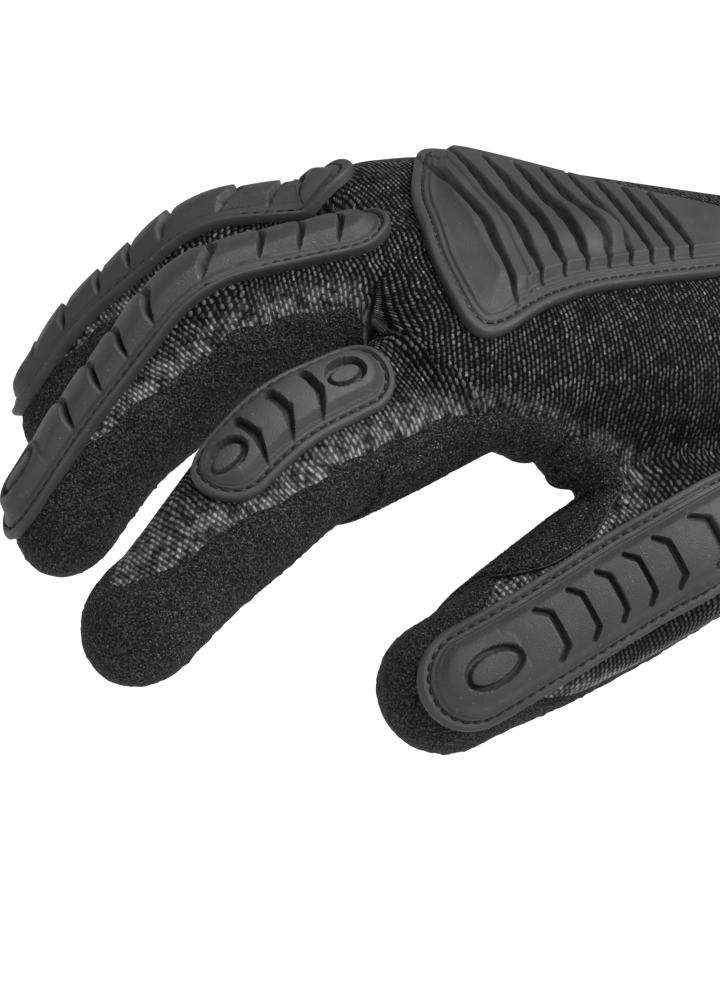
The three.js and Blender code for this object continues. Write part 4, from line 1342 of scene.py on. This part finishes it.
def add_back_panel(material, thread):
    """The moulded panel on the hand's back, and the stitches in its channel."""
    outline = smooth_outline(np.array(BACK_OUTLINE) * (HAND_LENGTH, PALM_WIDTH / 2), 0.1)
    border, inner, parts = back_spokes(outline)
    rings = back_rings(outline, border, inner)
    count, spokes = rings.shape[:2]

    def lifted(flat, height):
        base, outward = back_base(flat)
        return base + outward * height[:, None]

    flat = rings.reshape(-1, 2)
    inset = np.clip(inside_polygon(flat, outline), 0, None)
    low_rings = [*FOOT_RINGS, count - 1]
    low_flat = rings[low_rings].reshape(-1, 2)
    top = lifted(flat, back_height(flat, inset))
    points = np.vstack([top, lifted(low_flat, np.full(len(low_flat), GUARD_FOOT))])
    near, rows, far, _ = parts

    def grid(first, levels):
        made = ring_quads(levels, spokes, first=first)
        last = first + (levels - 1) * spokes
        mirrored = lambda i: spokes - 1 - (i - near)
        inside = [(i, i + 1, mirrored(i + 1), mirrored(i)) for i in range(near, near + rows - 1)]
        inside += [[mirrored(near), *range(near + 1)], range(near + rows - 1, near + rows + far + 1)]
        return made + [tuple(last + n for n in face) for face in inside]

    low_first = count * spokes
    faces = grid(0, count) + [face[::-1] for face in grid(low_first, len(low_rings))]
    faces += [((j + 1) % spokes, j, low_first + j, low_first + (j + 1) % spokes) for j in range(spokes)]
    faces = outward_faces(points, faces)
    add_piece("back_pad", points, faces, material, ["back_guard"], 180)
    away = unit(inner - border)
    slope = (inside_polygon(border + away * 1.5, outline) / 1.5)[:, None]
    stitch_flat = border + away * BACK_SPEC["stitch"] / np.clip(slope, 0.5, 1)
    base, outward = back_base(stitch_flat)
    level = rim_height(np.full(1, BACK_SPEC["stitch"]), BACK_SPEC)[0]
    points, faces = stitch_bodies(base + outward * (level + THREAD_LIFT), outward)
    add_piece("back_stitches", points, faces, thread, (), 180)


# The overlocked band at the wrist opening.
HEM_TURNS = 150
HEM_STEPS = 8
# The band's section: place along the cuff and height above it.
HEM_SECTION = (
    (-8.0, 0.1), (-7.5, 0.9), (-6.0, 1.25), (-4.0, 1.35), (-2.0, 1.35), (-0.6, 1.2), (-0.05, 0.6),
    (0.0, -0.6), (-0.1, -1.5), (-0.7, -2.1), (-2.5, -2.3), (-4.5, -2.1), (-5.2, -1.5), (-5.0, -0.9),
    (-6.5, -0.3),
)


def add_hem(material):
    """Thread wound round the rim: its section runs up the outside, over the rim and back inside."""
    angles = np.arange(HEM_TURNS * HEM_STEPS) * 2 * math.pi / (HEM_TURNS * HEM_STEPS)
    rings = []
    for x, level in HEM_SECTION:
        w, h, y, z = palm.section(-x)
        wound = 0.16 * np.abs(np.sin(angles * HEM_TURNS / 2 + x * 0.5)) * (1 if level > -0.5 else -1)
        across, high = rounded(angles, w + level + wound, h + level + wound, PALM_POWER)
        rings.append(np.stack([np.full(len(angles), x), y - across, z + high], 1))
    points = np.vstack(rings)
    faces = outward_faces(points, ring_quads(len(rings), len(angles), closed=True))
    add_piece("cuff_band", points, faces, material, ["cuff_hem"], 180)


# The camera, the floor and the light.
CAMERA_AZIMUTH = -29.2
CAMERA_ELEVATION = 28.3
CAMERA_ROLL = 18.8
CAMERA_DISTANCE = 620.0
CAMERA_TARGET = (-183.0, -56.8, -13.4)
CAMERA_LENS = 121.1
FLOOR_LEVEL = -420.0
FLOOR_REACH = 6.0


def add_camera():
    azimuth, elevation = math.radians(CAMERA_AZIMUTH), math.radians(CAMERA_ELEVATION)
    level = math.cos(elevation)
    back = Vector((math.sin(azimuth) * level, -math.cos(azimuth) * level, math.sin(elevation)))
    right = Vector((math.cos(azimuth), math.sin(azimuth), 0))
    up = back.cross(right)
    roll = math.radians(CAMERA_ROLL)
    turned_right = right * math.cos(roll) + up * math.sin(roll)
    turned_up = -right * math.sin(roll) + up * math.cos(roll)
    camera = bpy.data.objects.new("camera", bpy.data.cameras.new("camera"))
    camera.data.lens = CAMERA_LENS
    camera.data.clip_start = 0.01
    basis = Matrix((turned_right, turned_up, back)).transposed().to_4x4()
    camera.matrix_world = Matrix.Translation((Vector(CAMERA_TARGET) + back * CAMERA_DISTANCE) * MM) @ basis
    bpy.context.scene.collection.objects.link(camera)
    bpy.context.scene.camera = camera


def add_floor():
    m = Shader("floor")
    tone = m.ramp(m.noise(3.0, 2.0), 0.3, 0.7, 0.86, 0.9)
    material = m.finish(m.grey(tone), 0.9, specular=0.1)
    mesh = bpy.data.meshes.new("floor")
    corners = [(x * FLOOR_REACH, y * FLOOR_REACH, 0) for x, y in ((-1, -1), (1, -1), (1, 1), (-1, 1))]
    mesh.from_pydata(corners, [], [(0, 1, 2, 3)])
    mesh.materials.append(material)
    floor = bpy.data.objects.new("floor", mesh)
    floor.location.z = FLOOR_LEVEL * MM
    bpy.context.scene.collection.objects.link(floor)


def add_light(name, kind, power, direction):
    data = bpy.data.lights.new(name, kind)
    data.energy = power
    light = bpy.data.objects.new(name, data)
    light.rotation_euler = direction.to_track_quat("-Z", "Y").to_euler()
    bpy.context.scene.collection.objects.link(light)
    return light


def add_studio():
    """A wide soft light that falls evenly on the piece and the floor, and a weak softbox above the glove."""
    add_floor()
    sky = add_light("sky", "SUN", 3.7, -Vector((0.32, -0.25, 0.91)))
    sky.data.angle = math.radians(50)
    place, aim = (-0.35, -0.25, 1.1), (-0.15, -0.03, 0.0)
    softbox = add_light("softbox", "AREA", 3, Vector(aim) - Vector(place))
    softbox.data.shape = "DISK"
    softbox.data.size = 0.7
    softbox.location = place
    world = bpy.data.worlds.new("studio")
    world.use_nodes = True
    background = world.node_tree.nodes["Background"]
    background.inputs["Color"].default_value = (1, 1, 1, 1)
    background.inputs["Strength"].default_value = 0.2
    bpy.context.scene.world = world
    bpy.context.scene.view_settings.view_transform = "Standard"


add_camera()
add_studio()
add_liner()
sand = sand_material("sand", 0.001, 0.044, 0.12)
patch_sand = sand_material("patch_sand", 0.001, 0.04, 0.18)
rubber = rubber_material()
thread = thread_material("thread", 0.012)
add_coat(sand)
add_patch(patch_sand)
for name, spec in RUBBER_FACTS.items():
    digit_guard(name, spec, rubber, thread)
add_back_panel(rubber, thread)
add_hem(thread_material("hem_thread", 0.02))
